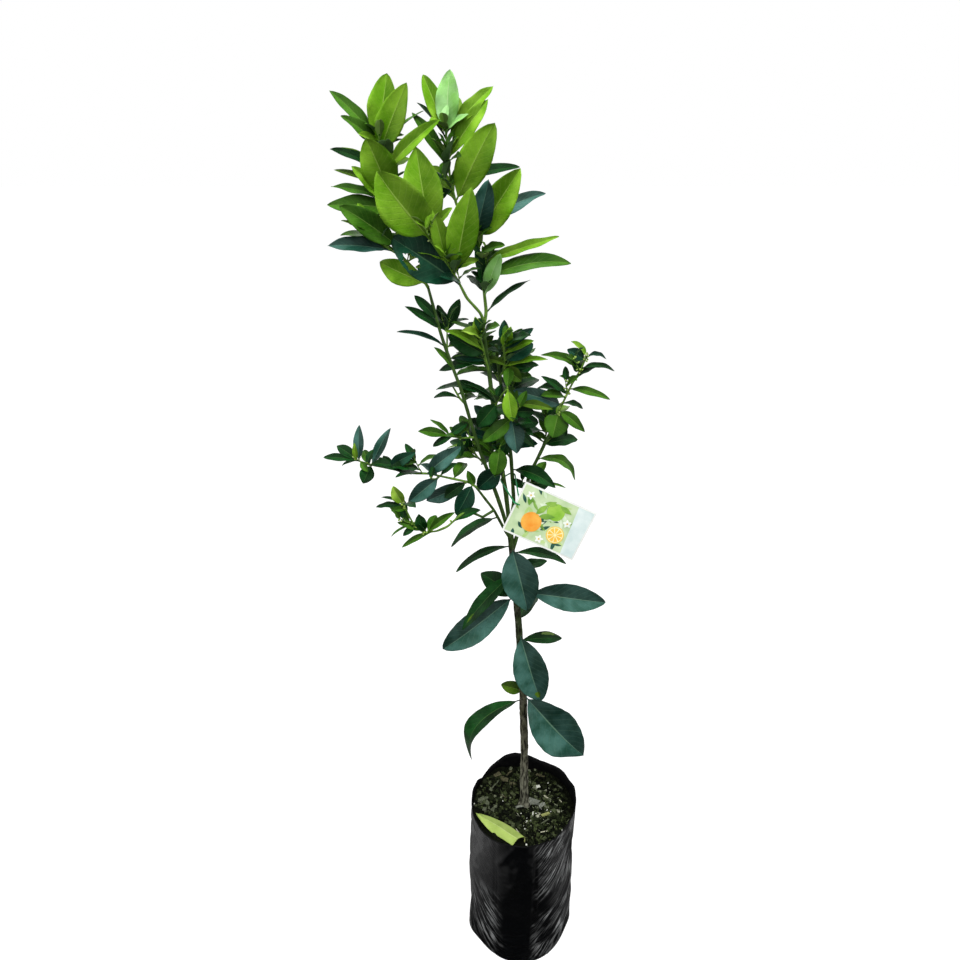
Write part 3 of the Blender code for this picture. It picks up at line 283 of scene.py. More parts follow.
leafPaint = {
    "lime": leafMaterial("leafLime", tone(156, 194, 72), tone(118, 164, 40), tone(184, 206, 120), 0.42, 0.02),
    # The mint paint is a pale young leaf's colour and partly painted light: its paleness and weak dimming stand in for
    # light shining through the blade
    "mintBacklit": leafMaterial("leafMintBacklit", tone(160, 208, 140), tone(124, 182, 90), tone(196, 222, 168), 0.4, 0.02, dim=0.8),
    "bright": leafMaterial("leafBright", tone(126, 172, 46), tone(86, 136, 16), tone(168, 198, 96), 0.4, 0.02, dim=0.6),
    "green": leafMaterial("leafGreen", tone(68, 114, 28), tone(42, 86, 12), tone(116, 150, 68), 0.38, 0.03),
    "olive": leafMaterial("leafOlive", tone(82, 116, 26), tone(52, 84, 16), tone(126, 152, 70), 0.4, 0.02, dim=0.45),
    "dark": leafMaterial("leafDark", tone(22, 72, 26), tone(8, 44, 12), tone(74, 108, 54), 0.34, 0.04),
    # The blue and slate paints are dark green leaves with partly painted reflection: their blue-grey stands in for the
    # sky's sheen on glossy blades, and the paler slate colour is painted patches of that sheen
    "blueSheen": leafMaterial("leafBlueSheen", tone(22, 72, 50), tone(8, 44, 28), tone(80, 118, 86), 0.34, 0.06),
    "slateSheen": leafMaterial("leafSlateSheen", tone(62, 104, 94), tone(26, 68, 54), tone(108, 144, 118), 0.34, 0.08, dim=0.42,
                          specular=0.14),
    "paleUnder": leafMaterial("leafUnderPale", tone(136, 164, 92), tone(120, 150, 76), tone(172, 190, 126), 0.6, 0.0),
    "darkUnder": leafMaterial("leafUnderDark", tone(86, 116, 72), tone(72, 104, 58), tone(128, 152, 98), 0.6, 0.0),
}
leafOrder = list(leafPaint)
print("materials for leaves ready")

# Limbs: the same centre lines and radii as the solids, in millimetres
limbs = {
    "trunk": dict(radii=(8.4, 7.0, 6.2, 6.0, 5.7, 4.9, 4.3, 3.9, 3.6),
                  points=[(3, 6, 259), (3, 6, 267), (2, 6, 296), (0, 6, 382), (-5, 5, 489), (-14, 4, 605),
                          (-22, 3, 686), (-27, 2, 739), (-30, 1, 766)]),
    "centre_bough": dict(radii=(3.0, 2.0),
                         points=[(-30, 1, 766), (-35, -1, 809), (-40, -3, 842), (-49, -8, 905),
                                 (-56, -12, 961), (-63, -16, 1012), (-64, -17, 1027)]),
    "twin_bough": dict(radii=(2.6, 1.7),
                       points=[(-29, 1, 752), (-24, 12, 790), (-29, 16, 856), (-37, 15, 909),
                               (-44, 11, 955), (-49, 6, 994)]),
    "left_bough": dict(radii=(2.5, 1.6),
                       points=[(-26, 2, 735), (-40, -8, 790), (-56, -12, 840), (-67, -16, 871),
                               (-77, -20, 907), (-88, -26, 950), (-101, -30, 988),
                               (-109, -32, 1014), (-121, -35, 1064)]),
    "right_bough": dict(radii=(2.6, 1.9),
                        points=[(-25, 2, 722), (-13, 8, 770), (-6, 11, 828), (6, 13, 854),
                                (17, 16, 879)]),
    "low_bough": dict(radii=(2.2, 1.5),
                      points=[(-28, 0, 743), (-38, -13, 767), (-50, -30, 800), (-71, -38, 834)]),
    "hook_bough": dict(radii=(1.8, 1.4), points=[(-50, -30, 800), (-64, -44, 798), (-80, -55, 812)]),
}


def evenTaper(radii, count):
    return [radii[0] + (radii[1] - radii[0]) * i / (count - 1) for i in range(count)]


for limb in limbs.values():
    limb["line"] = metres(limb["points"])
    sizes = limb["radii"] if len(limb["radii"]) > 2 else evenTaper(limb["radii"], len(limb["line"]))
    limb["sizes"] = [size * millimetre for size in sizes]
limbs["centre_bough"]["line"][0] += Vector((0, 0, 0.0003))


def tubeRings(line, sizes, rings, sides, relief=None):
    # Ring i: smoothed centre line at i, plus (cos a side + sin a other) r (1 + relief)
    knots = np.array([list(point) for point in line])
    steps = np.concatenate([[0], np.cumsum(np.linalg.norm(np.diff(knots, axis=0), axis=1))])
    places = np.linspace(0, steps[-1], rings)
    centre = np.stack([np.interp(places, steps, knots[:, axis]) for axis in range(3)], axis=1)
    radius = np.interp(places, steps, sizes)
    for turn in range(max(2, rings // 12)):
        centre[1:-1] = (centre[:-2] + 2 * centre[1:-1] + centre[2:]) / 4
    ahead = np.gradient(centre, axis=0)
    ahead /= np.linalg.norm(ahead, axis=1, keepdims=True)
    guide = np.eye(3)[np.argmin(np.abs(ahead.mean(axis=0)))]
    side = guide - ahead * (ahead @ guide)[:, None]
    side /= np.linalg.norm(side, axis=1, keepdims=True)
    other = np.cross(ahead, side)
    angle = np.linspace(0, 2 * np.pi, sides, endpoint=False)
    spokes = np.cos(angle)[None, :, None] * side[:, None] + np.sin(angle)[None, :, None] * other[:, None]
    points = centre[:, None] + spokes * radius[:, None, None]
    if relief is not None:
        points = points + spokes * relief(points, places[:, None], angle[None, :])[..., None]
    return points


def tubeFaces(rings, sides, start):
    # Quads between the rings, and one lid at each end
    row = np.arange(rings - 1)[:, None] * sides
    column = np.arange(sides)[None, :]
    following = (column + 1) % sides
    quads = np.stack([row + column, row + following, row + following + sides, row + column + sides], axis=-1)
    faces = (quads.reshape(-1, 4) + start).tolist()
    faces.append([start + i for i in reversed(range(sides))])
    faces.append([start + (rings - 1) * sides + i for i in range(sides)])
    return faces


def joinTubes(name, tubes, sides, material):
    points, faces, start = [], [], 0
    for line, sizes, rings, relief in tubes:
        grid = tubeRings(line, sizes, rings, sides, relief)
        faces += tubeFaces(rings, sides, start)
        points.append(grid.reshape(-1, 3))
        start += rings * sides
    return addPiece(name, np.concatenate(points), faces, [material])


def barkRelief(points, place, angle):
    # Upright cracks, deep at the foot and shallow near the fork, with a flare at the mix
    low = np.clip(1.15 - place / 0.42, 0.16, 1.0)
    cracks = softNoise(points * np.array([1, 1, 0.28]), 0.0026, 3)
    plates = softNoise(points * np.array([1, 1, 0.5]), 0.007, 4)
    knobs = softNoise(points, 0.018, 5)
    flare = 0.0035 * np.exp(-place / 0.006) * (0.6 + 0.4 * np.cos(3 * angle + 1))
    return low * (0.0011 * (np.abs(2 * cracks - 1) - 0.5) + 0.0007 * (plates - 0.5)
                  + 0.0012 * (knobs - 0.5)) + flare


def stemRelief(points, place, angle):
    # Young wood: slight ribs and swellings
    ribs = 0.00010 * np.cos(5 * angle + 30 * place)
    return ribs + 0.0005 * (softNoise(points, 0.011, 8) - 0.5)


def barkMaterial():
    # Grey-brown at the foot, olive in the middle and green towards the fork
    material, tree, shader = newMaterial("barkSkin", 0.8, specular=0.1)
    place = tree.nodes.new("ShaderNodeTexCoord")
    split = tree.nodes.new("ShaderNodeSeparateXYZ")
    tree.links.new(place.outputs["Object"], split.inputs["Vector"])
    rise = tree.nodes.new("ShaderNodeMapRange")
    rise.inputs["From Min"].default_value = 0.30
    rise.inputs["From Max"].default_value = 0.74
    tree.links.new(split.outputs["Z"], rise.inputs["Value"])
    ramp = tree.nodes.new("ShaderNodeValToRGB")
    for index, (at, colour) in enumerate([(0.0, tone(124, 124, 108)), (1.0, tone(54, 76, 34))]):
        ramp.color_ramp.elements[index].position = at
        ramp.color_ramp.elements[index].color = colour
    for at, colour in ((0.3, tone(92, 90, 72)), (0.6, tone(56, 66, 42))):
        ramp.color_ramp.elements.new(at).color = colour
    tree.links.new(rise.outputs["Result"], ramp.inputs["Fac"])
    stretch = tree.nodes.new("ShaderNodeMapping")
    stretch.inputs["Scale"].default_value = (1.0, 1.0, 0.22)
    tree.links.new(place.outputs["Object"], stretch.inputs["Vector"])
    grain = tree.nodes.new("ShaderNodeTexNoise")
    grain.inputs["Scale"].default_value = 330.0
    grain.inputs["Detail"].default_value = 6.0
    tree.links.new(stretch.outputs["Vector"], grain.inputs["Vector"])
    streak = tree.nodes.new("ShaderNodeMapRange")
    streak.inputs["From Min"].default_value = 0.40
    streak.inputs["From Max"].default_value = 0.58
    tree.links.new(grain.outputs["Fac"], streak.inputs["Value"])
    dark = mixColours(tree, streak.outputs["Result"], tone(24, 22, 17), ramp.outputs["Color"])
    spots = addGroup(tree, mottle, Scale=90.0, Low=0.55, High=0.7)
    pale = mixColours(tree, math2(tree, "MULTIPLY", spots.outputs["Mask"], 0.45), dark, tone(124, 122, 106))
    tree.links.new(pale, shader.inputs["Base Color"])
    addBump(tree, shader, grain.outputs["Fac"], 0.5, 0.0007)
    return material


barkSkin = barkMaterial()
greenWood = plainMaterial("greenWood", tone(66, 94, 42), tone(46, 70, 28), 0.5, scale=160.0, bump=0.25)
youngWood = plainMaterial("youngWood", tone(104, 140, 56), tone(86, 122, 44), 0.45, scale=160.0, bump=0.2)
trunkPiece = joinTubes("trunkBark", [(limbs["trunk"]["line"], limbs["trunk"]["sizes"], 620, barkRelief)], 72,
                       barkSkin)
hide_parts("trunk")
boughNames = [name for name in limbs if name != "trunk"]
boughPiece = joinTubes("boughStems", [(limbs[name]["line"], limbs[name]["sizes"], 130, stemRelief)
                                      for name in boughNames], 20, greenWood)
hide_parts(*boughNames)
print("trunk and boughs ready")

# Growth: the same rule, order of draws and settling as the solids
leafForm = dict(petioleHalf=0.0011, petioleThick=0.0020, bladeThick=0.0014, arch=0.07, fold=0.22, long=0.060,
                longStations=((0.10, 0.05), (0.34, 0.45), (0.60, 0.49), (0.84, 0.28)),
                shortStations=((0.42, 0.49), (0.78, 0.34)), spiral=144.0, rootDepth=0.001)
crownMin = Vector((-0.246, -0.155, 0.36))
crownMax = Vector((0.102, 0.165, 1.266))
# Masses: leaves are (limb number, marks of root and tip in the camera's view, width in pixels,
# millimetres that the tip lies behind the root, turn to the front, arch). A mark is (column, row),
# and a stem mark has the depth in millimetres too
setMasses = {
    "head_left_foliage": dict(
        parent="left_bough", radii=(1.9, 1.1), kinds="ggbbgbbdbogbgogbsb", ruleKinds="bgb",
        stem=[(-121, -35, 1064), (-128, -35, 1076), (-149, -33, 1096), (-156, -20, 1148),
              (-168, -10, 1200)],
        twigs=[[(-149, -33, 1096), (-160, -38, 1103), (-172, -41, 1116), (-178, -45, 1127)]],
        leaves=[(0, (373, 142), (330, 88), 17, -5, 35), (0, (374, 150), (340, 115), 15, -14, 50),
                (0, (379, 142), (387, 72.5), 29, 4, 80), (0, (385, 150), (406, 82), 28, -14, 80),
                (0, (388, 155), (422, 108), 9, 8, 10), (0, (396, 170), (440, 120), 16, -16, 60),
                (0, (399, 194), (366, 138), 36, -34, 78), (0, (386, 176), (331, 147), 12, -8, 45),
                (0, (387, 173), (341, 146), 8, 3, 45), (0, (389, 190), (333, 169), 8, 6, 45),
                (0, (391, 203), (331, 187), 14, -6, 35), (0, (392, 207), (353, 166), 16, -18, 60),
                (0, (391, 210), (327, 203), 21, -16, 60), (1, (378, 236), (341, 220), 8, -8, 20),
                (0, (396, 248), (340, 206), 25, -26, 72), (0, (397, 253), (343, 238), 10, 4, 45),
                (1, (392, 250), (327, 246), 18, -10, 50),
                (0, (426, 284), (379, 261.5), 24, 3, 85, 0.05)],
        rule=dict(count=6, start=60, lift=(10, 50), length=(58, 50), seed=3)),
    "head_middle_foliage": dict(
        parent="centre_bough", radii=(1.9, 1.1), kinds="bbtbb", ruleKinds="gbd",
        stem=[(-64, -17, 1027), (-66, -20, 1034), (-81, -28, 1052), (-90, -34, 1071), (-101, -40, 1089),
              (-117, -45, 1113)],
        twigs=[],
        leaves=[(0, (428, 238), (377, 171), 47, -24, 90), (0, (434, 240), (416, 146), 40, -4, 85),
                (0, (459, 286), (391, 235.5), 43, -4, 66, 0.10),
                (0, (447, 262), (431, 209), 17, -14, 80),
                (0, (455, 275), (471, 188), 31, -24, 88, 0.05)],
        rule=dict(count=3, start=40, lift=(20, 20), length=(46, 50), seed=5)),
    "head_right_foliage": dict(
        parent="centre_bough", radii=(1.9, 1.1), kinds="bmbbbgddbssddbgmd", ruleKinds="bgb",
        stem=[(-63, -16, 1018), (-60, -12, 1034), (-63, -12, 1060), (-69, -12, 1099), (-81, -12, 1124),
              (-92, -10, 1145), (-98, -8, 1172), (-101, -4, 1211)],
        twigs=[],
        leaves=[(0, (445, 134), (423.3, 73.3), 18, 10, 60), (0, (445, 128), (450, 69), 23, 2, 85),
                (0, (446, 140), (493.3, 85), 16, 8, 50), (0, (450, 160), (487.7, 98.3), 19, 0, 55),
                (0, (459, 201), (494, 123), 33, -16, 85), (0, (448, 168), (411.7, 111), 14, 2, 45),
                (0, (444, 140), (417, 101), 8, 12, 20), (0, (451, 184), (520.7, 166), 14, 22, 45),
                (0, (482, 237), (520, 168), 33, -22, 85), (0, (470, 236), (546, 192), 22, 24, 35),
                (0, (477, 240), (489, 180), 25, -30, 80), (0, (454, 190), (431, 204), 12, -4, 45),
                (0, (484, 294), (475, 243.5), 11, -6, 25),
                (0, (480, 263), (559, 234), 13, 12, 40, 0.02),
                (0, (482, 279), (571, 258.5), 26, -4, 30), (0, (484, 296), (500, 254), 16, -10, 70),
                (0, (487, 312), (530, 278.5), 9, 8, 20)],
        rule=dict(count=6, start=70, lift=(25, 50), length=(60, 52), seed=8)),
    "right_spray_foliage": dict(
        parent="right_bough", radii=(1.5, 0.9), kinds="gttdddgdgggds", ruleKinds="bgd",
        stem=[(17, 16, 879), (24, 18, 898), (33, 20, 920), (41, 20, 940), (46, 20, 950), (53, 20, 964),
              (58, 20, 978)],
        twigs=[],
        leaves=[(0, (579, 371), (542, 354), 11, -8, 35, 0.15), (0, (584, 360), (567, 349), 12, 5, 60),
                (0, (586, 358), (607, 359), 8, -3, 20, 0.20), (0, (580, 372), (572, 361), 9, -5, 60),
                (0, (582, 370), (615, 371), 8, -3, 30, 0.20), (0, (565, 393), (541, 375.5), 9, 0, 35),
                (0, (570, 389), (611, 398), 9.5, -15, 40, 0.10),
                (0, (563, 403), (584, 408), 8, -5, 25, 0.15), (0, (557, 413), (553, 438), 25, -25, 75),
                (0, (559, 411), (585, 432), 12, -20, 60, 0.25), (0, (573, 382), (559, 376), 6, 5, 20),
                (0, (556, 418), (567, 437), 10, 4, 40), (0, (560, 405), (514, 390), 17, -16, 55)],
        rule=dict(count=4, start=60, lift=(5, 40), length=(38, 26), seed=12)),
    "left_spray_foliage": dict(
        parent="low_bough", radii=(1.5, 0.9), kinds="dssbdgdtdddsdstdsg", ruleKinds="gd",
        stem=[(-71, -38, 834), (-78, -41, 842), (-91, -45, 847), (-127, -50, 858), (-144, -50, 858),
              (-192, -50, 869), (-209, -50, 875)],
        twigs=[],
        leaves=[(0, (357, 460), (323, 457), 9, 0, 40), (0, (359, 461), (359, 425), 11, 8, 75),
                (0, (371, 464), (390, 428), 10.5, 8, 65), (0, (356, 460), (354, 443), 5, -5, 40),
                (0, (358, 461), (342, 465), 5, -6, 10), (0, (360, 461), (368, 472), 7, -12, 60),
                (0, (372, 465), (363, 484), 15, -15, 75), (0, (388, 468), (415.5, 452), 13.5, -8, 60),
                (0, (392, 469), (383, 455), 9, 10, 50), (0, (396, 470), (414, 462), 11, 10, 50),
                (0, (379, 467), (412, 475), 6, -10, 20), (0, (428, 473), (461, 447), 17, -5, 60, 0.16),
                (0, (440, 477), (457, 462), 7, 8, 30), (0, (440, 477), (407.5, 503), 17, -15, 75),
                (0, (473, 484), (457, 516), 18.5, -14, 85), (0, (466, 482), (444, 498), 13, 2, 60),
                (0, (468, 483), (424, 504), 16, 10, 75), (0, (474, 485), (467, 470), 9, -3, 50)],
        rule=dict(count=4, start=70, lift=(10, 30), length=(40, 30), seed=16)),
    "hook_spray_foliage": dict(
        parent="hook_bough", radii=(1.5, 0.9), kinds="gdggdldgd", ruleKinds="dg",
        stem=[(-80, -55, 812), (-89, -60, 810), (-105, -66, 797), (-118, -70, 793), (-133, -72, 793),
              (-142, -72, 801), (-148, -70, 812), (-155, -70, 830)],
        twigs=[],
        leaves=[(0, (428, 531), (456, 512), 9, -8, 45), (0, (424, 531), (418, 514), 12, -5, 70),
                (0, (413, 525), (391, 537), 5, -5, 0), (0, (432, 531), (401, 547), 7, -10, 30),
                (0, (415, 527), (403, 536), 7, -10, 40), (0, (403, 503), (393, 486), 12.5, -5, 80),
                (0, (404, 505), (375, 507), 7, 0, 30), (0, (406, 509), (391, 511), 6, -8, 40),
                (0, (403, 503), (381, 497), 5, 5, 10)],
        rule=dict(count=3, start=30, lift=(10, 20), length=(36, 28), seed=21)),
    "crown_right_top": dict(
        parent="twin_bough", radii=(1.3, 0.9), kinds="tbgtbtbdo", ruleKinds="dg",
        stemMarks=[(499.5, 377, 9.5), (503, 372, 4), (505, 358, -4), (503, 345, -10)],
        twigs=[],
        leaves=[(0, (503, 346), (504, 319), 11, 8, 60), (0, (503, 347), (511, 326), 12, -4, 75),
                (0, (504, 349), (523, 328), 9, 6, 50), (0, (504, 350), (533, 327), 12, 0, 45),
                (0, (504, 354), (533.5, 340), 10, -9, 45), (0, (505, 361), (534, 343), 17, 5, 70),
                (0, (504, 367), (548, 359), 9, -6, 30), (0, (504, 371), (539, 364), 10, 2, 40),
                (0, (503, 373), (522, 381), 15, -15, 70)],
        rule=dict(count=3, start=40, lift=(5, 30), length=(46, 40), seed=36)),
    "crown_left_top": dict(
        parent="centre_bough", radii=(1.3, 0.9), kinds="bdgtdl", ruleKinds="dg",
        stemMarks=[(489, 372, -12.5), (486, 362, -18), (484, 350, -22), (480, 338, -26)],
        twigs=[],
        leaves=[(0, (484, 351), (446, 329), 13, -12, 35), (0, (485, 355), (447, 334), 20, -3, 70),
                (0, (486, 365), (451, 356), 5, -6, 0), (0, (486, 360), (455, 357), 9, 4, 50),
                (0, (488, 370), (438, 370), 12, 8, 45), (0, (480, 340), (475, 317), 11, -4, 70)],
        rule=dict(count=2, start=150, lift=(5, 30), length=(46, 40), seed=35)),
    "left_bough_rear": dict(
        parent="left_bough", radii=(1.3, 0.9), kinds="do", ruleKinds="gd",
        stemMarks=[(447, 352, -30.5), (447, 342, -26), (447, 331, -20)],
        twigs=[],
        leaves=[(0, (447, 332), (460, 298), 12, 12, 70), (0, (447, 334), (460, 313), 15, 3, 70)],
        rule=dict(count=4, start=60, lift=(5, 35), length=(44, 40), seed=32)),
    "crown_front_middle": dict(
        parent="centre_bough", radii=(1.3, 0.9), kinds="bddd", ruleKinds="dg",
        stemMarks=[(494, 413, -9), (497, 403, -18), (502, 394, -26), (508, 389, -31)],
        twigs=[],
        leaves=[(0, (508, 389), (513, 422), 15.5, -14, 88),
                (0, (496, 406), (433, 396), 14, 9, 20, 0.18), (0, (497, 403), (462, 387), 6, 2, 10),
                (0, (495, 410), (477, 427), 19, -10, 85)],
        rule=dict(count=2, start=300, lift=(5, 30), length=(40, 36), seed=37)),
    "crown_right_middle": dict(
        parent="twin_bough", radii=(1.3, 0.9), kinds="oddsgd", ruleKinds="dg",
        stemMarks=[(508, 433, 13.5), (510, 424, 4), (512, 414, -4), (517, 403, -8)],
        twigs=[],
        leaves=[(0, (517, 404), (554, 409), 10, -3, 45), (0, (513, 411), (535, 412), 14, 0, 70),
                (0, (511, 421), (539, 422), 15, 6, 60), (0, (512, 417), (517, 454), 20, -24, 85),
                (0, (511, 418), (483, 441), 16, -34, 75), (0, (510, 428), (535, 448), 10, 0, 50)],
        rule=dict(count=2, start=330, lift=(5, 30), length=(40, 36), seed=39)),
    "crown_left_middle": dict(
        parent="left_bough", radii=(1.3, 0.9), kinds="gggddg", ruleKinds="dg",
        stemMarks=[(475.5, 437.5, -18), (462, 438, -21), (449, 436, -24)],
        twigs=[],
        leaves=[(0, (450, 437), (417.5, 430.5), 10, -3, 50), (0, (450, 437), (430, 419), 6, 6, 20),
                (0, (455, 437), (467, 428), 7, 4, 30), (0, (452, 437), (432, 446.5), 8, -6, 45),
                (0, (460, 438), (461, 457), 8, -8, 60), (0, (462, 438), (449, 427), 7, 6, 50)],
        rule=dict(count=3, start=90, lift=(5, 30), length=(34, 28), seed=38)),
    "crown_front_low": dict(
        parent="centre_bough", radii=(1.3, 0.9), kinds="ggtdd", ruleKinds="dg",
        stemMarks=[(504, 478, -3), (502, 468, -11), (500, 456, -18), (500, 446, -22)],
        twigs=[],
        leaves=[(0, (501, 460), (468, 453), 9, 14, 40), (0, (500, 447), (495, 476), 18.5, -12, 85),
                (0, (502, 467), (477, 489), 21, -6, 75), (0, (500, 458), (508, 437), 13, 4, 60),
                (0, (500, 455), (478, 468), 12, 26, 40)],
        rule=dict(count=2, start=250, lift=(5, 30), length=(38, 34), seed=40)),
    "crown_right_low": dict(
        parent="right_bough", radii=(1.3, 0.9), kinds="dgd", ruleKinds="dg",
        stemMarks=[(520, 491, 7.5), (525, 486, 0), (531, 482, -6)],
        twigs=[],
        leaves=[(0, (524, 487), (549, 485), 12, 6, 60), (0, (529, 483), (566, 489), 6, -8, 10),
                (0, (521, 489), (511, 474), 10, 6, 50)],
        rule=dict(count=4, start=330, lift=(5, 40), length=(42, 38), seed=41)),
}
# Bough, place, heading and lift of the stem, stem length, leaves, leaf length, seed, kinds
ruleMasses = {
    "crown_tip_right": ("twin_bough", 0.92, 40, 15, 30, 9, 36, 33, "gdb"),
    "crown_rear_tip": ("centre_bough", 0.80, 110, 15, 32, 8, 38, 34, "dgo"),
    "left_bough_twig": ("left_bough", 0.60, 130, 25, 26, 5, 34, 31, "gd"),
    "crown_left_low": ("left_bough", 0.36, 130, 20, 34, 9, 48, 42, "dgt"),
    "crown_rear_top": ("twin_bough", 0.80, 115, 30, 48, 10, 56, 43, "dg"),
    "crown_rear_middle": ("twin_bough", 0.64, 80, 25, 56, 11, 58, 44, "dgd"),
    "crown_rear_low": ("twin_bough", 0.40, 120, 20, 54, 11, 58, 45, "dgt"),
    "crown_rear_right": ("right_bough", 0.86, 70, 30, 44, 9, 50, 46, "dg"),
}
# Limb, marks of root and tip, width in pixels, step behind, turn to the front, arch, kind
singleLeaves = {
    "bough_leaf_left_top": ("left_bough", (435, 320), (414, 296), 10, -3, 50, 0.07, "d"),
    "bough_leaf_left_upper": ("left_bough", (437, 328), (405, 305), 9, -8, 45, 0.07, "d"),
    "bough_leaf_left_narrow": ("centre_bough", (493, 448), (446, 447), 6.5, 12, 10, 0.07, "b"),
    "bough_leaf_middle": ("centre_bough", (495, 444), (463, 430), 11, 8, 60, 0.07, "t"),
    "bough_leaf_upper_left": ("low_bough", (497, 518), (450, 546), 15, -12, 8, 0.09, "d"),
    "bough_leaf_arched_left": ("trunk", (510, 547), (455, 572), 10, -14, 20, 0.16, "d"),
    "bough_leaf_left_long": ("left_bough", (443, 347), (396, 332), 8, -4, 20, 0.09, "t"),
    "bough_leaf_left_small": ("left_bough", (453, 368), (434, 346), 8, -6, 30, 0.07, "g"),
    "bough_leaf_arched_right": ("twin_bough", (510, 470), (556, 488), 15, -26, 45, 0.24, "d"),
    "bough_leaf_crescent": ("right_bough", (538, 459), (576, 480), 14, -4, 20, 0.30, "g"),
    "trunk_leaf_front_upper": ("trunk", (512.5, 548), (527.5, 612), 36, -30, 72, 0.07, "s"),
    "trunk_leaf_under_label": ("trunk", (514, 553), (567, 563), 12, -8, 20, 0.12, "d"),
    "trunk_leaf_rear_right": ("trunk", (514, 572), (547.5, 561), 13, 12, 20, 0.07, "d"),
    "trunk_leaf_right": ("trunk", (516, 591), (606.5, 602), 27, -14, 50, 0.08, "s"),
    "trunk_leaf_rear_left": ("trunk", (516, 598), (480, 572), 22, 22, 50, 0.07, "d"),
    "trunk_leaf_left_big": ("trunk", (515, 596), (440, 644), 29, -20, 58, 0.07, "s"),
    "trunk_leaf_left_narrow": ("trunk", (513, 573), (461, 630), 16, -44, 30, 0.07, "d"),
    "trunk_leaf_right_small": ("trunk", (520, 641), (562.5, 638.5), 13, 16, 35, 0.07, "d"),
    "trunk_leaf_front_middle": ("trunk", (524, 632), (541, 704), 34, -36, 75, 0.07, "s"),
    "trunk_leaf_rear_low": ("trunk", (522, 692), (500.5, 685), 13, 6, 40, 0.07, "o"),
    "trunk_leaf_left_low": ("trunk", (522, 698), (469, 759), 20, -26, 10, 0.36, "d"),
    "trunk_leaf_right_low": ("trunk", (524, 694), (584, 756.5), 44, -30, 66, 0.07, "s"),
}
# Hidden behind the trunk: limb, place along it, reach in x, y, z, width, turn, arch, kind
hiddenLeaves = {
    "trunk_leaf_rear_high": ("trunk", 0.69, 26, 74, 4, 30, 0, 0.07, "d"),
}
kindNames = dict(l="lime", m="mintBacklit", b="bright", g="green", o="olive", d="dark", t="blueSheen", s="slateSheen")
settleSteps = ((0, 0, 1.0), (4, 0, 1.0), (-4, 0, 1.0), (0, 4, 1.0), (0, -4, 1.0),
               (8, 0, 1.0), (-8, 0, 1.0), (0, 8, 1.0), (0, -8, 1.0), (8, 6, 1.0), (-8, 6, 1.0),
               (8, -6, 1.0), (-8, -6, 1.0), (14, 0, 1.0), (-14, 0, 1.0), (14, 8, 1.0),
               (-14, 8, 1.0), (0, 14, 0.9), (22, 0, 0.9), (-22, 0, 0.9), (0, -14, 0.85))
taken = []
blades = {}


def facingSide(reach, turn):
    # Upper side of a blade: straight up at no turn, to the front at ninety degrees
    wish = Vector((0.0, -math.sin(math.radians(turn)), math.cos(math.radians(turn))))
    ahead = reach.normalized()
    side = wish - ahead * wish.dot(ahead)
    if side.length < 0.05:
        side = Vector((1.0, 0.0, 0.0)).cross(ahead)
    return side.normalized()


def roughLeaf(leaf, grown):
    # The plain form of a leaf that the solids use, as points and faces, for finding room
    reach, upper, span = leaf["reach"], leaf["upper"], leaf["reach"].length
    across = reach.normalized().cross(upper)
    stations = leafForm["longStations"] if span > leafForm["long"] else leafForm["shortStations"]
    points = []
    for place, share in ((0.0, 0.0),) + stations:
        half = max(leafForm["petioleHalf"], share * leaf["width"])
        fold = leafForm["fold"] * max(half - 2.0 * leafForm["petioleHalf"], 0.0)
        thick = leafForm["petioleThick"] if share < 0.1 else leafForm["bladeThick"]
        arch = leaf["arch"] * span * 4.0 * place * (1.0 - place)
        centre = leaf["root"] + reach * place + upper * arch
        edge = upper * (fold + thick / 2.0 + grown)
        points += [centre - across * (half + 2.0 * grown) + edge,
                   centre + across * (half + 2.0 * grown) + edge, centre - upper * (thick / 2.0 + grown)]
    points.append(leaf["root"] + reach * (1.0 + grown / span))
    faces = [(2, 1, 0)]
    for first in range(0, len(points) - 4, 3):
        for side in range(3):
            second = first + (side + 1) % 3
            faces.append((first + side, second, second + 3, first + side + 3))
    last = len(points) - 4
    faces += [(last + side, last + (side + 1) % 3, len(points) - 1) for side in range(3)]
    return points, faces


def bladeTree(leaf):
    points, faces = roughLeaf(leaf, 0.0)
    return BVHTree.FromPolygons(points, [face for face in faces if min(face) > 2])


def nodeTree(name):
    mesh = frame["nodes"][name].data
    return BVHTree.FromPolygons([vertex.co.copy() for vertex in mesh.vertices],
                                [tuple(face.vertices) for face in mesh.polygons])


def tubeTree(line, sizes):
    points = tubeRings(line, sizes, len(line) * 2, 4).reshape(-1, 3)
    return BVHTree.FromPolygons([Vector(point) for point in points], tubeFaces(len(line) * 2, 4, 0))


def isFree(leaf, owner):
    tip = leaf["root"] + leaf["reach"]
    if any(not crownMin[axis] <= tip[axis] <= crownMax[axis] for axis in range(3)):
        return False
    tree = BVHTree.FromPolygons(*roughLeaf(leaf, 0.0006))
    return not any(tree.overlap(other) for name, other in taken if name != owner)


def swung(leaf, swing, lift, size):
    reach = leaf["reach"].copy()
    reach.rotate(Matrix.Rotation(math.radians(swing), 3, "Z"))
    reach.rotate(Matrix.Rotation(math.radians(lift), 3, reach.cross(Vector((0.0, 0.0, 1.0)))))
    reach *= size
    upper = leaf["upper"] - reach.normalized() * leaf["upper"].dot(reach.normalized())
    return dict(leaf, reach=reach, upper=upper.normalized(), width=leaf["width"] * size)


def settle(leaf, owner):
    # The leaf as given, or swung and lifted a little until it is free
    second = None
    for swing, lift, size in settleSteps:
        tried = swung(leaf, swing, lift, size)
        if isFree(tried, owner):
            blade = bladeTree(tried)
            if not any(blade.overlap(other) for other in blades.get(owner, [])):
                return tried
            second = second or tried
    return second


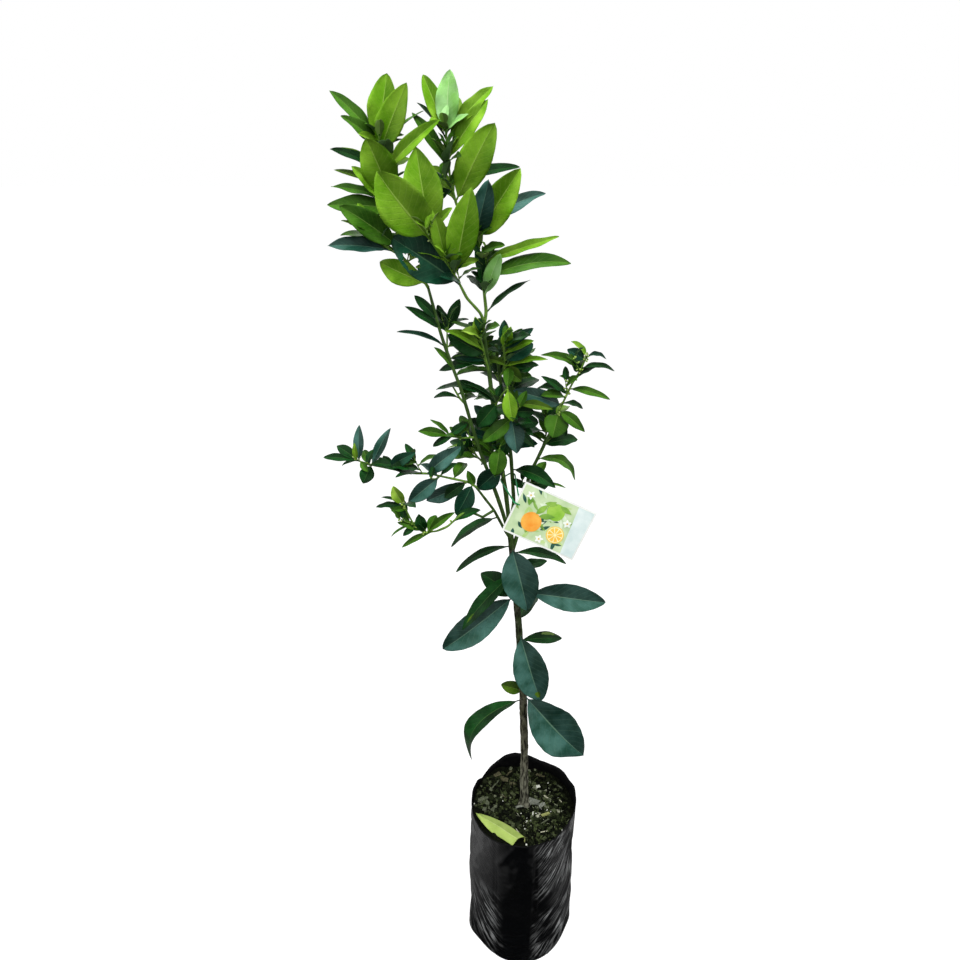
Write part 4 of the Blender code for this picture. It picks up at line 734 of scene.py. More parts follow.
def markOf(point):
    # Column, row and distance of a place in millimetres: centre + focus * offset / distance
    offset = np.asarray(point) * millimetre - viewForm["place"]
    distance = offset @ viewAhead
    column = viewForm["centre"] + viewForm["focus"] * offset[0] / distance
    row = viewForm["centre"] - viewForm["focus"] * (offset @ viewUp) / distance
    return column, row, distance


def placeBehind(mark, depth):
    # Place in millimetres behind a mark, where y is the given depth
    ray = viewAhead * viewForm["focus"] - viewUp * (mark[1] - viewForm["centre"])
    ray[0] += mark[0] - viewForm["centre"]
    return (viewForm["place"] + ray * (depth * millimetre - viewForm["place"][1]) / ray[1]) / millimetre


def nearestOn(points, mark, first, last=0.99):
    # Share of a line's length, from first to last, whose place is seen nearest to a mark
    knots = np.array(points, dtype=float)
    steps = np.cumsum(np.linalg.norm(np.diff(knots, axis=0), axis=1))
    steps = np.concatenate([[0.0], steps]) / steps[-1]
    shares = np.linspace(first, last, 201)
    places = np.stack([np.interp(shares, steps, knots[:, axis]) for axis in range(3)], axis=1)
    seen = np.array([markOf(place)[:2] for place in places])
    best = int(np.argmin(np.hypot(seen[:, 0] - mark[0], seen[:, 1] - mark[1])))
    return float(shares[best]), places[best]


def whole(place):
    return tuple(round(value) for value in place)


def measuredStem(parent, marks):
    # Stem through its marks, in whole millimetres, sprung from the nearest place on its bough
    points = [whole(placeBehind(mark, mark[2])) for mark in marks]
    points[0] = whole(nearestOn(limbs[parent]["points"], markOf(points[0]), 0.02, 0.985)[1])
    return points


def measured(points, root, tip, width, step, turn, arch=leafForm["arch"], first=0.02):
    # Place, reach and width of a leaf from its marks, in whole millimetres
    place, start = nearestOn(points, root, first)
    end = placeBehind(tip, start[1] + step)
    dx, dy, dz = whole(end - start)
    broad = round(width * markOf((start + end) / 2)[2] / viewForm["focus"] / millimetre)
    return round(place, 2), dx, dy, dz, broad, turn, arch


def setLeaf(line, kind, place, dx, dy, dz, width, turn, arch=leafForm["arch"]):
    reach = Vector((dx, dy, dz)) * millimetre
    root = along(line, place) - reach.normalized() * leafForm["rootDepth"] * 0.4
    return dict(root=root, reach=reach, upper=facingSide(reach, turn), width=width * millimetre, arch=arch,
                kind=kind)


def ruleLeaves(line, rule, kinds):
    # Leaves spiral up a stem, each a fixed turn on from the last, with a little chance
    dice = random.Random(rule["seed"])
    grown = []
    for number in range(rule["count"]):
        share = number / max(rule["count"] - 1, 1)
        root = along(line, 0.22 + 0.76 * share)
        compass = math.radians(rule["start"] + leafForm["spiral"] * number + dice.uniform(-12, 12))
        lift = rule["lift"][0] + (rule["lift"][1] - rule["lift"][0]) * share
        lift = math.radians(lift + dice.uniform(-10, 10))
        length = rule["length"][0] + (rule["length"][1] - rule["length"][0]) * share
        length *= millimetre * dice.uniform(0.82, 1.08)
        reach = Vector((math.cos(compass) * math.cos(lift), math.sin(compass) * math.cos(lift),
                        math.sin(lift))) * length
        turn = dice.uniform(0, 45)
        root = root - reach.normalized() * leafForm["rootDepth"] * 0.4
        grown.append(dict(root=root, reach=reach, upper=facingSide(reach, turn),
                          width=length * dice.uniform(0.36, 0.46), arch=leafForm["arch"],
                          kind=kinds[number % len(kinds)]))
    return grown


def placeLeaves(name, leaves, grown, inside=None):
    # Each leaf settles where it is free, or is left out
    for leaf in leaves:
        placed = settle(leaf, name)
        if placed is not None and inside is not None:
            tip = placed["root"] + placed["reach"]
            if any(not inside[0][axis] <= tip[axis] <= inside[1][axis] for axis in range(3)):
                placed = None
        if placed is not None:
            grown[name].append(placed)
            taken.append((name, BVHTree.FromPolygons(*roughLeaf(placed, 0.0))))
            blades.setdefault(name, []).append(bladeTree(placed))


def growSingles():
    singles = []
    leaves = {name: (limb, kind, measured(limbs[limb]["points"], *form))
              for name, (limb, *form, kind) in singleLeaves.items()}
    leaves.update((name, (limb, kind, form)) for name, (limb, *form, kind) in hiddenLeaves.items())
    for name, (limb, kind, form) in leaves.items():
        leaf = settle(setLeaf(limbs[limb]["line"], kind, *form), limb)
        if leaf is not None:
            singles.append(dict(leaf, node=name))
            taken.append((name, nodeTree(name)))
    return singles


def planMasses():
    # Stem and twig lines, set leaves, and the leaves that fill in by the rule
    masses = {}
    for name, form in setMasses.items():
        stem = form["stem"] if "stem" in form else measuredStem(form["parent"], form["stemMarks"])
        points = [stem] + form["twigs"]
        lines = [metres(line) for line in points]
        first = 0.36 if name.startswith("crown") else 0.02
        leaves = [setLeaf(lines[row[0]], kind, *measured(points[row[0]], *row[1:], first=first))
                  for row, kind in zip(form["leaves"], form["kinds"])]
        masses[name] = dict(lines=lines, radii=[radius * millimetre for radius in form["radii"]],
                            leaves=leaves, filling=ruleLeaves(lines[0], form["rule"], form["ruleKinds"]))
    for name, (parent, place, heading, lift, length, count, leafLength, seed, kinds) in ruleMasses.items():
        root = along(limbs[parent]["line"], place)
        compass, rise, size = math.radians(heading), math.radians(lift), length * millimetre
        out = Vector((math.cos(compass) * math.cos(rise), math.sin(compass) * math.cos(rise),
                      math.sin(rise)))
        line = [root, root + out * size * 0.5, root + out * size + Vector((0.0, 0.0, size * 0.2))]
        rule = dict(count=count, start=heading - 60, lift=(5, 40),
                    length=(leafLength, leafLength * 0.75), seed=seed)
        masses[name] = dict(lines=[line], radii=[0.0013, 0.0009], leaves=[],
                            filling=ruleLeaves(line, rule, kinds))
    return masses


# Finer shoots out of leaf axils: shoots in a head, a spray and an inner mass, and their form
shootForm = dict(head=11, spray=3, inner=2, length=(10, 20), leaves=(3, 5), leafLength=(18, 34), seed=61)


def shootCount(name):
    if name.startswith("head"):
        return shootForm["head"]
    return shootForm["spray"] if "spray" in name else shootForm["inner"]


def growShoots(grown, tubes):
    # A shoot leaves an axil between the stem's and the leaf's direction, and stays in its mass
    dice = random.Random(shootForm["seed"])
    for name, leaves in grown.items():
        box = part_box(name)
        parents = list(leaves)
        dice.shuffle(parents)
        for parent in parents[:shootCount(name)]:
            ahead = parent["reach"].normalized() + parent["upper"] * dice.uniform(0.4, 1.4)
            ahead += Vector((dice.uniform(-0.4, 0.4), dice.uniform(-0.4, 0.4), dice.uniform(0.1, 0.7)))
            ahead.normalize()
            size = dice.uniform(*shootForm["length"]) * millimetre
            root = parent["root"]
            line = [root, root + ahead * size * 0.5, root + ahead * size + Vector((0, 0, size * 0.15))]
            rule = dict(count=dice.randint(*shootForm["leaves"]), start=dice.uniform(0, 360), lift=(20, 60),
                        length=(shootForm["leafLength"][1], shootForm["leafLength"][0]),
                        seed=dice.randint(0, 9999))
            if any(not box[0][axis] <= line[-1][axis] <= box[1][axis] for axis in range(3)):
                continue
            before = len(leaves)
            kinds = parent["kind"] + ("gb" if name.startswith("head") else "gd")
            placeLeaves(name, ruleLeaves(line, rule, kinds), grown, box)
            if len(leaves) > before:
                sizes = evenTaper((0.0007, 0.0005), 3)
                taken.append((name, tubeTree(line, sizes)))
                tubes.append((line, sizes, 24, None))


def growCrown():
    # Single leaves first, then all stems, the set leaves, the filling leaves, and finer shoots
    for name in list(limbs) + ["label_card", "label_tie"]:
        taken.append((name, nodeTree(name)))
    singles, masses, tubes = growSingles(), planMasses(), []
    for name, mass in masses.items():
        for number, line in enumerate(mass["lines"]):
            radii = mass["radii"] if number == 0 else [mass["radii"][1] * 1.1, mass["radii"][1] * 0.7]
            sizes = evenTaper(radii, len(line))
            taken.append((name, tubeTree(line, sizes)))
            tubes.append((line, sizes, 12 * len(line), stemRelief))
    grown = {name: [] for name in masses}
    for stage in ("leaves", "filling"):
        for name, mass in masses.items():
            placeLeaves(name, mass[stage], grown)
    growShoots(grown, tubes)
    return singles, grown, tubes


singleGrown, massGrown, twigTubes = growCrown()
twigPiece = joinTubes("twigStems", twigTubes, 10, youngWood)
print("crown grown:", sum(len(leaves) for leaves in massGrown.values()) + len(singleGrown), "leaves")


# Leaves: closed thin blades on a grid of s to the tip and v across
def leafGrids(leaves, rows, columns, seed):
    # Point(s, v) = root + reach s + upper arch 4 s (1 - s) + across v h(s) + upper fold |v|^1.3 h(s)
    # + upper wave |v|^2 sin(...), and h(s) = width / 2 sin(pi t^q)^p with t = (s - base) / (1 - base);
    # a low p makes both ends blunt, and a q over 1 moves the belly to the tip
    dice = np.random.default_rng(seed)
    count = len(leaves)
    root, reach, upper = (np.array([list(leaf[key]) for leaf in leaves])[:, None, None]
                          for key in ("root", "reach", "upper"))
    span = np.linalg.norm(reach, axis=-1, keepdims=True)
    width = np.array([leaf["width"] for leaf in leaves])[:, None, None, None]
    across = np.cross(reach / span, upper)
    s = np.linspace(0, 1, rows)[None, :, None, None]
    v = np.linspace(-1, 1, columns)[None, None, :, None]

    def chance(low, high):
        return dice.uniform(low, high, count)[:, None, None, None]

    def own(key, usual):
        # A leaf's own value where it has one
        values = [leaf.get(key, float(value)) for leaf, value in zip(leaves, usual[:, 0, 0, 0])]
        return np.array(values)[:, None, None, None]

    base = own("base", chance(0.07, 0.12))
    t = np.clip((s - base) / (1 - base), 0, 1)
    petiole = 0.0009 * np.clip(1.2 - 1.1 * s, 0.1, 1)
    half = width * 0.5 * np.sin(np.pi * t ** own("belly", chance(0.82, 1.04))) ** own("blunt", chance(0.6, 0.8))
    half = np.sqrt(petiole ** 2 + half ** 2)
    blade = np.clip((s - base + 0.02) / 0.12, 0, 1)
    fold = own("fold", chance(0.15, 0.5)) * half * np.abs(v) ** 1.3 * blade
    wave = chance(0.02, 0.07) * width * np.sin(2 * np.pi * (chance(1.6, 3.2) * s + chance(0, 1))
                                               + np.sign(v) * chance(0, 1.5)) * v ** 2 * blade
    curl = chance(-0.05, 0.02) * span * s ** 3 - chance(0.0, 0.03) * span * s ** 2
    sway = own("sway", chance(-0.025, 0.025)) * span * 4 * s * (1 - s) * s
    arch = np.array([leaf["arch"] for leaf in leaves])[:, None, None, None] * span * 4 * s * (1 - s)
    notch = 1 + 0.008 * np.sin(2 * np.pi * (9 * s + chance(0, 1))) * np.abs(v)
    middle = root + reach * s + upper * (arch + fold + wave + curl) + across * (v * half * notch + sway)
    thick = 0.5 * (0.0004 + (0.0017 - 0.0004) * (1 - blade)) * np.sqrt(1 - 0.9 * v ** 2)
    return np.clip(np.stack([middle + upper * thick, middle - upper * thick], axis=1),
                   np.array(cadBox[0]) + 0.00002, np.array(cadBox[1]) - 0.00002)


def leafFaces(rows, columns):
    # Top, underside, and the four narrow edges of one leaf
    grid = np.arange(rows * columns).reshape(rows, columns)
    below = grid + rows * columns

    def quads(a, b, c, d):
        return np.stack([a, b, c, d], axis=-1).reshape(-1, 4)

    top = quads(grid[:-1, :-1], grid[:-1, 1:], grid[1:, 1:], grid[1:, :-1])
    under = quads(below[:-1, :-1], below[1:, :-1], below[1:, 1:], below[:-1, 1:])
    rims = [quads(grid[:-1, 0], grid[1:, 0], below[1:, 0], below[:-1, 0]),
            quads(grid[1:, -1], grid[:-1, -1], below[:-1, -1], below[1:, -1]),
            quads(below[0, :-1], below[0, 1:], grid[0, 1:], grid[0, :-1]),
            quads(below[-1, 1:], below[-1, :-1], grid[-1, :-1], grid[-1, 1:])]
    return top, under, np.concatenate(rims)


def leafMap(leaves, rows, columns):
    # The map's upper half, which the leaf paints show lit while the other half gets painted shade, goes to the side of
    # each blade that lies lower and to the left
    s, v = np.meshgrid(np.linspace(0, 1, rows), np.linspace(0, 1, columns), indexing="ij")
    maps = []
    for leaf in leaves:
        across = leaf["reach"].normalized().cross(leaf["upper"])
        low = across.dot(Vector((-0.5, 0.0, -0.86))) > 0
        maps += [np.stack([s, v if low else 1 - v], axis=-1).reshape(-1, 2)] * 2
    return np.concatenate(maps)


def leafPiece(name, leaves, rows, columns, seed, nodes):
    points = leafGrids(leaves, rows, columns, seed)
    top, under, rims = leafFaces(rows, columns)
    one = np.concatenate([top, under, rims])
    faces = (one[None] + (np.arange(len(leaves)) * rows * columns * 2)[:, None, None]).reshape(-1, 4)
    upperKind = np.array([leafOrder.index(kindNames[leaf["kind"]]) for leaf in leaves])
    lowerKind = np.where(upperKind < 3, leafOrder.index("paleUnder"), leafOrder.index("darkUnder"))
    picks = np.concatenate([np.repeat(upperKind[:, None], len(top), 1),
                            np.repeat(lowerKind[:, None], len(under), 1),
                            np.repeat(upperKind[:, None], len(rims), 1)], axis=1)
    for node, spot, size, paint in wornSpots:
        for number, leaf in enumerate(leaves):
            if leaf.get("node") == node:
                inside = raggedRing(rows, columns, dict(spot=spot, size=size)).ravel()
                picks[number, :len(top)][inside] = leafOrder.index(paint)
    piece = addPiece(name, points, faces.tolist(), list(leafPaint.values()), picks.ravel(),
                     leafMap(leaves, rows, columns))
    if nodes:
        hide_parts(*nodes)
    return piece


def raggedRing(rows, columns, form):
    # True for the cells of a leaf that lie inside a ragged ring about (s, v) = spot
    s, v = np.meshgrid((np.arange(rows - 1) + 0.5) / (rows - 1), (np.arange(columns - 1) + 0.5) / (columns - 1) * 2 - 1,
                       indexing="ij")
    ahead, aside = (s - form["spot"][0]) / form["size"][0], (v - form["spot"][1]) / form["size"][1]
    turn = np.arctan2(aside, ahead)
    return np.hypot(ahead, aside) < 1 + 0.09 * np.sin(7 * turn + 1) + 0.06 * np.sin(13 * turn)


def holedLeaf(name, leaf, rows, columns, seed):
    # One old leaf is eaten through: the cells of the ring are left out, and the faces between top
    # and underside close the cut
    points = leafGrids([leaf], rows, columns, seed)
    top, under, rims = leafFaces(rows, columns)
    kept = ~raggedRing(rows, columns, holeForm)
    grid = np.arange(rows * columns).reshape(rows, columns)
    below = grid + rows * columns
    cut = []
    for i, j in np.argwhere(kept[:, 1:] != kept[:, :-1]):
        a, b = (i, j + 1), (i + 1, j + 1)
        a, b = (b, a) if kept[i, j] else (a, b)
        cut.append((grid[a], grid[b], below[b], below[a]))
    for i, j in np.argwhere(kept[1:] != kept[:-1]):
        a, b = (i + 1, j), (i + 1, j + 1)
        a, b = (a, b) if kept[i, j] else (b, a)
        cut.append((grid[a], grid[b], below[b], below[a]))
    keep = kept.ravel()
    faces = np.concatenate([top[keep], under[keep], rims, np.array(cut)])
    upperKind, lowerKind = leafOrder.index(kindNames[leaf["kind"]]), leafOrder.index("darkUnder")
    picks = np.concatenate([np.full(keep.sum(), upperKind), np.full(keep.sum(), lowerKind),
                            np.full(len(rims) + len(cut), upperKind)])
    used, renumbered = np.unique(faces, return_inverse=True)
    piece = addPiece(name, points.reshape(-1, 3)[used], renumbered.reshape(-1, 4).tolist(),
                     list(leafPaint.values()), picks, leafMap([leaf], rows, columns)[used])


holeForm = dict(spot=(0.665, -0.50), size=(0.115, 0.33))
# Worn and yellowed places on single leaves: place on the blade, size and paint
wornSpots = [("trunk_leaf_right_small", (0.66, -0.72), (0.17, 0.22), "paleUnder"),
             ("trunk_leaf_front_middle", (0.90, 0.05), (0.05, 0.30), "olive"),
             ("trunk_leaf_left_narrow", (0.82, 0.0), (0.07, 0.25), "olive")]
# Blades that are blunter or have their belly nearer the tip than most
leafShapes = {"trunk_leaf_right_low": dict(blunt=0.78, belly=0.95), "trunk_leaf_right": dict(base=0.2, belly=1.0),
              "trunk_leaf_front_middle": dict(blunt=0.66), "trunk_leaf_left_big": dict(blunt=0.6, belly=1.1)}
named = [name for name in setMasses if name.endswith("_foliage")]
inner = [name for name in massGrown if name not in named]
holedLeaf("holed_leaf", massGrown["head_middle_foliage"].pop(2), 121, 65, 140)
for number, name in enumerate(named):
    leafPiece(name.replace("_foliage", "_leaves"), massGrown[name], 25, 13, 100 + number, [name])
leafPiece("inner_leaves", [leaf for name in inner for leaf in massGrown[name]], 21, 11, 120, inner)
leafPiece("trunk_leaves", [dict(leaf, **leafShapes.get(leaf["node"], {})) for leaf in singleGrown],
          49, 33, 130, [*singleLeaves, *hiddenLeaves])
print("leaves ready")


# Buds: small ovoids at the shoot tips and in the axils
def ovoidPiece(name, centres, axes, lengths, widths, material):
    # Point(t, a) = centre - axis cos(pi t) length / 2 + (cos a side + sin a other) sin(pi t) width / 2
    axes = axes / np.linalg.norm(axes, axis=1, keepdims=True)
    side = np.cross(axes, np.array([0.31, 0.84, 0.44]))
    side /= np.linalg.norm(side, axis=1, keepdims=True)
    other = np.cross(axes, side)
    rings, sides = 5, 6
    t = np.linspace(0.1, 0.9, rings)[None, :, None, None]
    a = np.linspace(0, 2 * np.pi, sides, endpoint=False)[None, None, :, None]
    spread = np.cos(a) * side[:, None, None] + np.sin(a) * other[:, None, None]
    points = (centres[:, None, None] - axes[:, None, None] * np.cos(np.pi * t) * lengths[:, None, None, None] / 2
              + spread * np.sin(np.pi * t) * widths[:, None, None, None] / 2)
    faces = []
    for number in range(len(centres)):
        faces += tubeFaces(rings, sides, number * rings * sides)
    piece = addPiece(name, points, faces, [material])
    return piece


budForm = dict(perTip=7, spread=0.0055, length=(0.0022, 0.0042), width=(0.0014, 0.0024), seed=41)
budPaint = plainMaterial("budPaint", tone(196, 206, 150), tone(150, 176, 96), 0.5, scale=500.0, bump=0.1)
axilPaint = plainMaterial("axilPaint", tone(120, 150, 62), tone(92, 126, 44), 0.5, scale=500.0, bump=0.1)


def growBuds():
    dice = np.random.default_rng(budForm["seed"])
    tips = [metres(line)[-1] for name in named for line in [setMasses[name]["stem"]] + setMasses[name]["twigs"]]
    spots = np.repeat(np.array([list(tip) for tip in tips]), budForm["perTip"], axis=0)
    axes = dice.normal(size=spots.shape) * 0.6 + np.array([0, -0.1, 0.8])
    axes /= np.linalg.norm(axes, axis=1, keepdims=True)
    centres = spots + axes * dice.uniform(0.2, 1.0, (len(spots), 1)) * budForm["spread"]
    return ovoidPiece("tip_buds", centres, axes, dice.uniform(*budForm["length"], len(spots)),
                      dice.uniform(*budForm["width"], len(spots)), budPaint)


growBuds()
everyLeaf = [leaf for leaves in massGrown.values() for leaf in leaves] + singleGrown
axilAxes = np.array([list(leaf["reach"].normalized() + leaf["upper"]) for leaf in everyLeaf])
axilSpots = np.array([list(leaf["root"] + leaf["reach"].normalized() * 0.0012) for leaf in everyLeaf])
ovoidPiece("axil_buds", axilSpots + axilAxes * 0.0007, axilAxes, np.full(len(everyLeaf), 0.0032),
           np.full(len(everyLeaf), 0.0019), axilPaint)
# Clusters of pale blossom buds in the axils of the outer sprays
blossomPaint = plainMaterial("blossomBud", tone(178, 204, 108), tone(118, 158, 56), 0.4, scale=300.0, bump=0.0)
dice = np.random.default_rng(57)
clusterSpots = np.array([list(leaf["root"]) for name, each in (("right_spray_foliage", 2), ("hook_spray_foliage", 1))
                         for leaf in massGrown[name] for bud in range(each)])
clusterAxes = dice.normal(size=clusterSpots.shape) + np.array([0.0, -0.8, 0.6])
clusterAxes /= np.linalg.norm(clusterAxes, axis=1, keepdims=True)
ovoidPiece("blossom_buds", clusterSpots + clusterAxes * 0.0030, clusterAxes, dice.uniform(0.0028, 0.0042, len(clusterSpots)),
           dice.uniform(0.0022, 0.0030, len(clusterSpots)), blossomPaint)
print("buds ready")

# Planter bag
bagForm = dict(rimRadius=0.0815, baseRadius=0.084, gussets=(0.0, 195.0), gussetReach=0.006, taperHeight=0.272,
               wall=0.0012, columns=360, rows=236, innerRows=30)
# Rim heights in millimetres at compass angles
rimHeights = ((0, 283), (8, 289), (20, 284), (31, 287), (39, 286), (54, 281), (66, 279), (80, 284),
              (96, 287), (108, 284), (120, 276), (128, 272), (140, 262), (152, 273), (168, 275),
              (195, 269), (225, 268), (257, 272), (304, 272), (330, 281), (350, 284))
# Folds: compass angle, height, tilt of the fold, length, width and depth
bagFolds = [
    (238, 0.135, 90, 0.27, 0.0030, -0.0012), (281, 0.135, 90, 0.27, 0.0030, -0.0012),
    (300, 0.215, 38, 0.08, 0.0060, 0.0022), (318, 0.180, 42, 0.10, 0.0055, -0.0026),
    (334, 0.140, 40, 0.11, 0.0065, 0.0026), (306, 0.110, 30, 0.09, 0.0050, -0.0022),
    (322, 0.070, 34, 0.09, 0.0060, 0.0024), (345, 0.200, 48, 0.10, 0.0060, -0.0020),
    (222, 0.080, -38, 0.09, 0.0060, 0.0024), (236, 0.052, -32, 0.08, 0.0050, -0.0024),
    (214, 0.130, -50, 0.10, 0.0070, 0.0020), (252, 0.030, -20, 0.07, 0.0045, 0.0020),
    (262, 0.018, 5, 0.07, 0.0035, 0.0018), (276, 0.036, -8, 0.07, 0.0040, -0.0020),
    (290, 0.050, 12, 0.06, 0.0045, 0.0020), (258, 0.060, 10, 0.05, 0.0050, -0.0016),
    (262, 0.200, 78, 0.10, 0.0080, 0.0014), (248, 0.240, 60, 0.05, 0.0060, 0.0014),
    (238, 0.150, 90, 0.16, 0.0016, 0.0011), (284, 0.150, 90, 0.13, 0.0016, 0.0011),
    (276, 0.010, 8, 0.05, 0.0016, 0.0014),
]
# Narrow pleats on the right, rising to the right, and fewer on the left
bagFolds += [(324 + step % 3 * 5, 0.032 + 0.0155 * step, 46, 0.085 + 0.01 * (step % 2), 0.0020, 0.0015)
             for step in range(13)]
bagFolds += [(221 - step % 2 * 5, 0.040 + 0.017 * step, -48, 0.075, 0.0020, 0.0013) for step in range(6)]


def bagRadius(angle, height):
    # An even taper, a soft wave, the folds, the gussets near the ground and fine crumples
    share = np.minimum(height / bagForm["taperHeight"], 1)
    low = np.maximum(0, 1 - height / 0.045)
    radius = bagForm["baseRadius"] + (bagForm["rimRadius"] - bagForm["baseRadius"]) * share
    for gusset in bagForm["gussets"]:
        near = np.maximum(0, np.cos(angle - math.radians(gusset)))
        radius = radius + bagForm["gussetReach"] * near ** 30 * low
    radius = radius + 0.0015 * np.sin(3 * angle + 30 * height) - 0.002 * low
    dice = random.Random(77)
    spare = [(dice.uniform(0, 190), dice.uniform(0.03, 0.25), dice.uniform(-60, 60), dice.uniform(0.05, 0.11),
              dice.uniform(0.004, 0.008), dice.choice((-0.002, 0.002))) for number in range(22)]
    for compass, level, tilt, length, width, depth in bagFolds + spare:
        aroundBag = np.angle(np.exp(1j * (angle - math.radians(compass)))) * 0.083
        rise = height - level
        slope = math.radians(tilt)
        ahead = aroundBag * math.cos(slope) + rise * math.sin(slope)
        aside = rise * math.cos(slope) - aroundBag * math.sin(slope)
        radius = radius + depth * np.exp(-(aside / width) ** 2 - (2.2 * ahead / length) ** 2)
    angle, height = np.broadcast_arrays(angle, height)
    spots = np.stack([np.cos(angle) * 0.083, np.sin(angle) * 0.083, height], axis=-1)
    crumple = 0.0016 * (softNoise(spots, 0.021, 11) - 0.5) + 0.0007 * (softNoise(spots, 0.008, 12) - 0.5)
    return radius + crumple * np.clip(height / 0.01, 0, 1)


def filmStreaks(tree):
    # Fine pleats that fall from both sides to the front. Noise is stretched along lines of equal
    # z - 1.15 times the way around the bag from its front, and a ridge 1 - 17 |noise - 0.5| stands
    # where the noise crosses 0.5. Besides the pleats' height, it gives a mask of painted highlights on the ridges
    place = tree.nodes.new("ShaderNodeTexCoord")
    split = tree.nodes.new("ShaderNodeSeparateXYZ")
    tree.links.new(place.outputs["Object"], split.inputs["Vector"])
    away = math2(tree, "ABSOLUTE", split.outputs["X"])
    turn = math2(tree, "ARCTAN2", split.outputs["X"], math2(tree, "MULTIPLY", split.outputs["Y"], -1.0))
    arc = math2(tree, "MULTIPLY", math2(tree, "ABSOLUTE", turn), 0.083)
    cross = math2(tree, "MULTIPLY_ADD", arc, -1.15, split.outputs["Z"])
    ahead = math2(tree, "MULTIPLY_ADD", split.outputs["Z"], 1.15, arc)
    spot = tree.nodes.new("ShaderNodeCombineXYZ")
    for socket, value, scale in zip(spot.inputs, (cross, ahead, split.outputs["X"]), (104.0, 8.0, 7.0)):
        tree.links.new(math2(tree, "MULTIPLY", value, scale), socket)
    noise = tree.nodes.new("ShaderNodeTexNoise")
    noise.inputs["Scale"].default_value = 1.0
    noise.inputs["Detail"].default_value = 2.0
    tree.links.new(spot.outputs["Vector"], noise.inputs["Vector"])
    near = math2(tree, "ABSOLUTE", math2(tree, "SUBTRACT", noise.outputs["Fac"], 0.5))
    ridge = math2(tree, "MAXIMUM", math2(tree, "MULTIPLY_ADD", near, -17.0, 1.0), 0.0)
    soft = math2(tree, "MULTIPLY_ADD", noise.outputs["Fac"], 0.7, ridge)

    def held(value, scale, shift, low=0.0):
        # The value scaled, shifted and held between low and 1
        return math2(tree, "MINIMUM", math2(tree, "MAXIMUM", math2(tree, "MULTIPLY_ADD", value, scale, shift), low), 1.0)

    # Stronger on the right than on the left, where only the lower half is pleated
    side = held(math2(tree, "MULTIPLY_ADD", split.outputs["X"], 0.35, away), 26.0, -0.5, 0.06)
    right = held(split.outputs["X"], 45.0, -0.5)
    left = math2(tree, "MULTIPLY", held(split.outputs["X"], -40.0, -1.2), held(split.outputs["Z"], -14.0, 2.3))
    # Painted highlights: pale lines on the pleat ridges, broken into patches and strongest on the right and the front,
    # stand in for the sheen of the folds
    glintBreakup = addGroup(tree, mottle, Scale=26.0, Low=0.42, High=0.6)
    creaseGlint = math2(tree, "MULTIPLY", math2(tree, "MAXIMUM", right, left), glintBreakup.outputs["Mask"])
    front = held(split.outputs["Y"], -18.0, 0.4, 0.3)
    return math2(tree, "MULTIPLY", soft, side), math2(tree, "MULTIPLY", math2(tree, "MULTIPLY", creaseGlint, ridge), front)


def makeBag():
    angle = np.linspace(0, 2 * np.pi, bagForm["columns"], endpoint=False)[None, :]
    share, innerShare = (np.linspace(0, 1, bagForm[key])[:, None] for key in ("rows", "innerRows"))
    compass, level = np.array(rimHeights, dtype=float).T
    rim = np.interp(np.degrees(angle), compass, level, period=360) * millimetre - 0.0003
    height = share * rim
    outer = bagRadius(angle, height)
    innerHeight = bagForm["wall"] + innerShare * (rim - bagForm["wall"])
    inner = bagRadius(angle, innerShare * rim) - bagForm["wall"]

    def shell(radius, level):
        return np.stack(np.broadcast_arrays(np.cos(angle) * radius, np.sin(angle) * radius, level), axis=-1)

    points = np.concatenate([shell(outer, height), shell(inner, innerHeight)[::-1]])
    faces = tubeFaces(bagForm["rows"] + bagForm["innerRows"], bagForm["columns"], 0)
    material, tree, shader = newMaterial("bagFilm", 0.3, specular=0.1, coat=0.66, coatRoughness=0.04)
    dust = addGroup(tree, mottle, Scale=34.0, Low=0.5, High=0.78)
    film = mixColours(tree, math2(tree, "MULTIPLY", dust.outputs["Mask"], 0.08), tone(2, 3, 5), tone(34, 33, 31))
    height, creaseGlint = filmStreaks(tree)
    # Pale grey painted highlights along the pleat ridges over the dark film
    tree.links.new(mixColours(tree, math2(tree, "MULTIPLY", creaseGlint, 0.75), film, tone(186, 188, 188)),
                   shader.inputs["Base Color"])
    tree.links.new(math2(tree, "MULTIPLY_ADD", dust.outputs["Mask"], 0.12, 0.28), shader.inputs["Roughness"])
    addBump(tree, shader, height, 0.9, 0.0009)
    # The rim and the inside of the bag are near black, with no sheen
    inside = plainMaterial("bagInside", tone(4, 5, 7), tone(14, 14, 14), 0.6, specular=0.06)
    picks = [int(number // bagForm["columns"] > bagForm["rows"] - 3) for number in range(len(faces))]
    bag = addPiece("bag_film", points, faces, [material, inside], picks=picks)
    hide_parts("planter_bag")


makeBag()
print("bag ready")

# Potting mix
mixForm = dict(level=0.259, mound=0.004, foot=(0.003, 0.006), rings=90, sides=220, chips=2600, specks=64, seed=9)


def mixHeight(x, y):
    # Level round the trunk, and gently mounded and lumpy beyond it
    away = np.hypot(x - mixForm["foot"][0], y - mixForm["foot"][1])
    fade = np.clip((away - 0.023) / 0.025, 0, 1)
    spots = np.stack([x, y, 0 * x], axis=-1)
    lumps = 0.0035 * (softNoise(spots, 0.012, 21) - 0.5) + 0.0022 * (softNoise(spots, 0.0045, 22) - 0.5)
    return (mixForm["level"] + mixForm["mound"] * fade * np.sin(60 * x + 1) * np.cos(50 * y)
            + lumps * np.clip((away - 0.007) / 0.012, 0.25, 1))


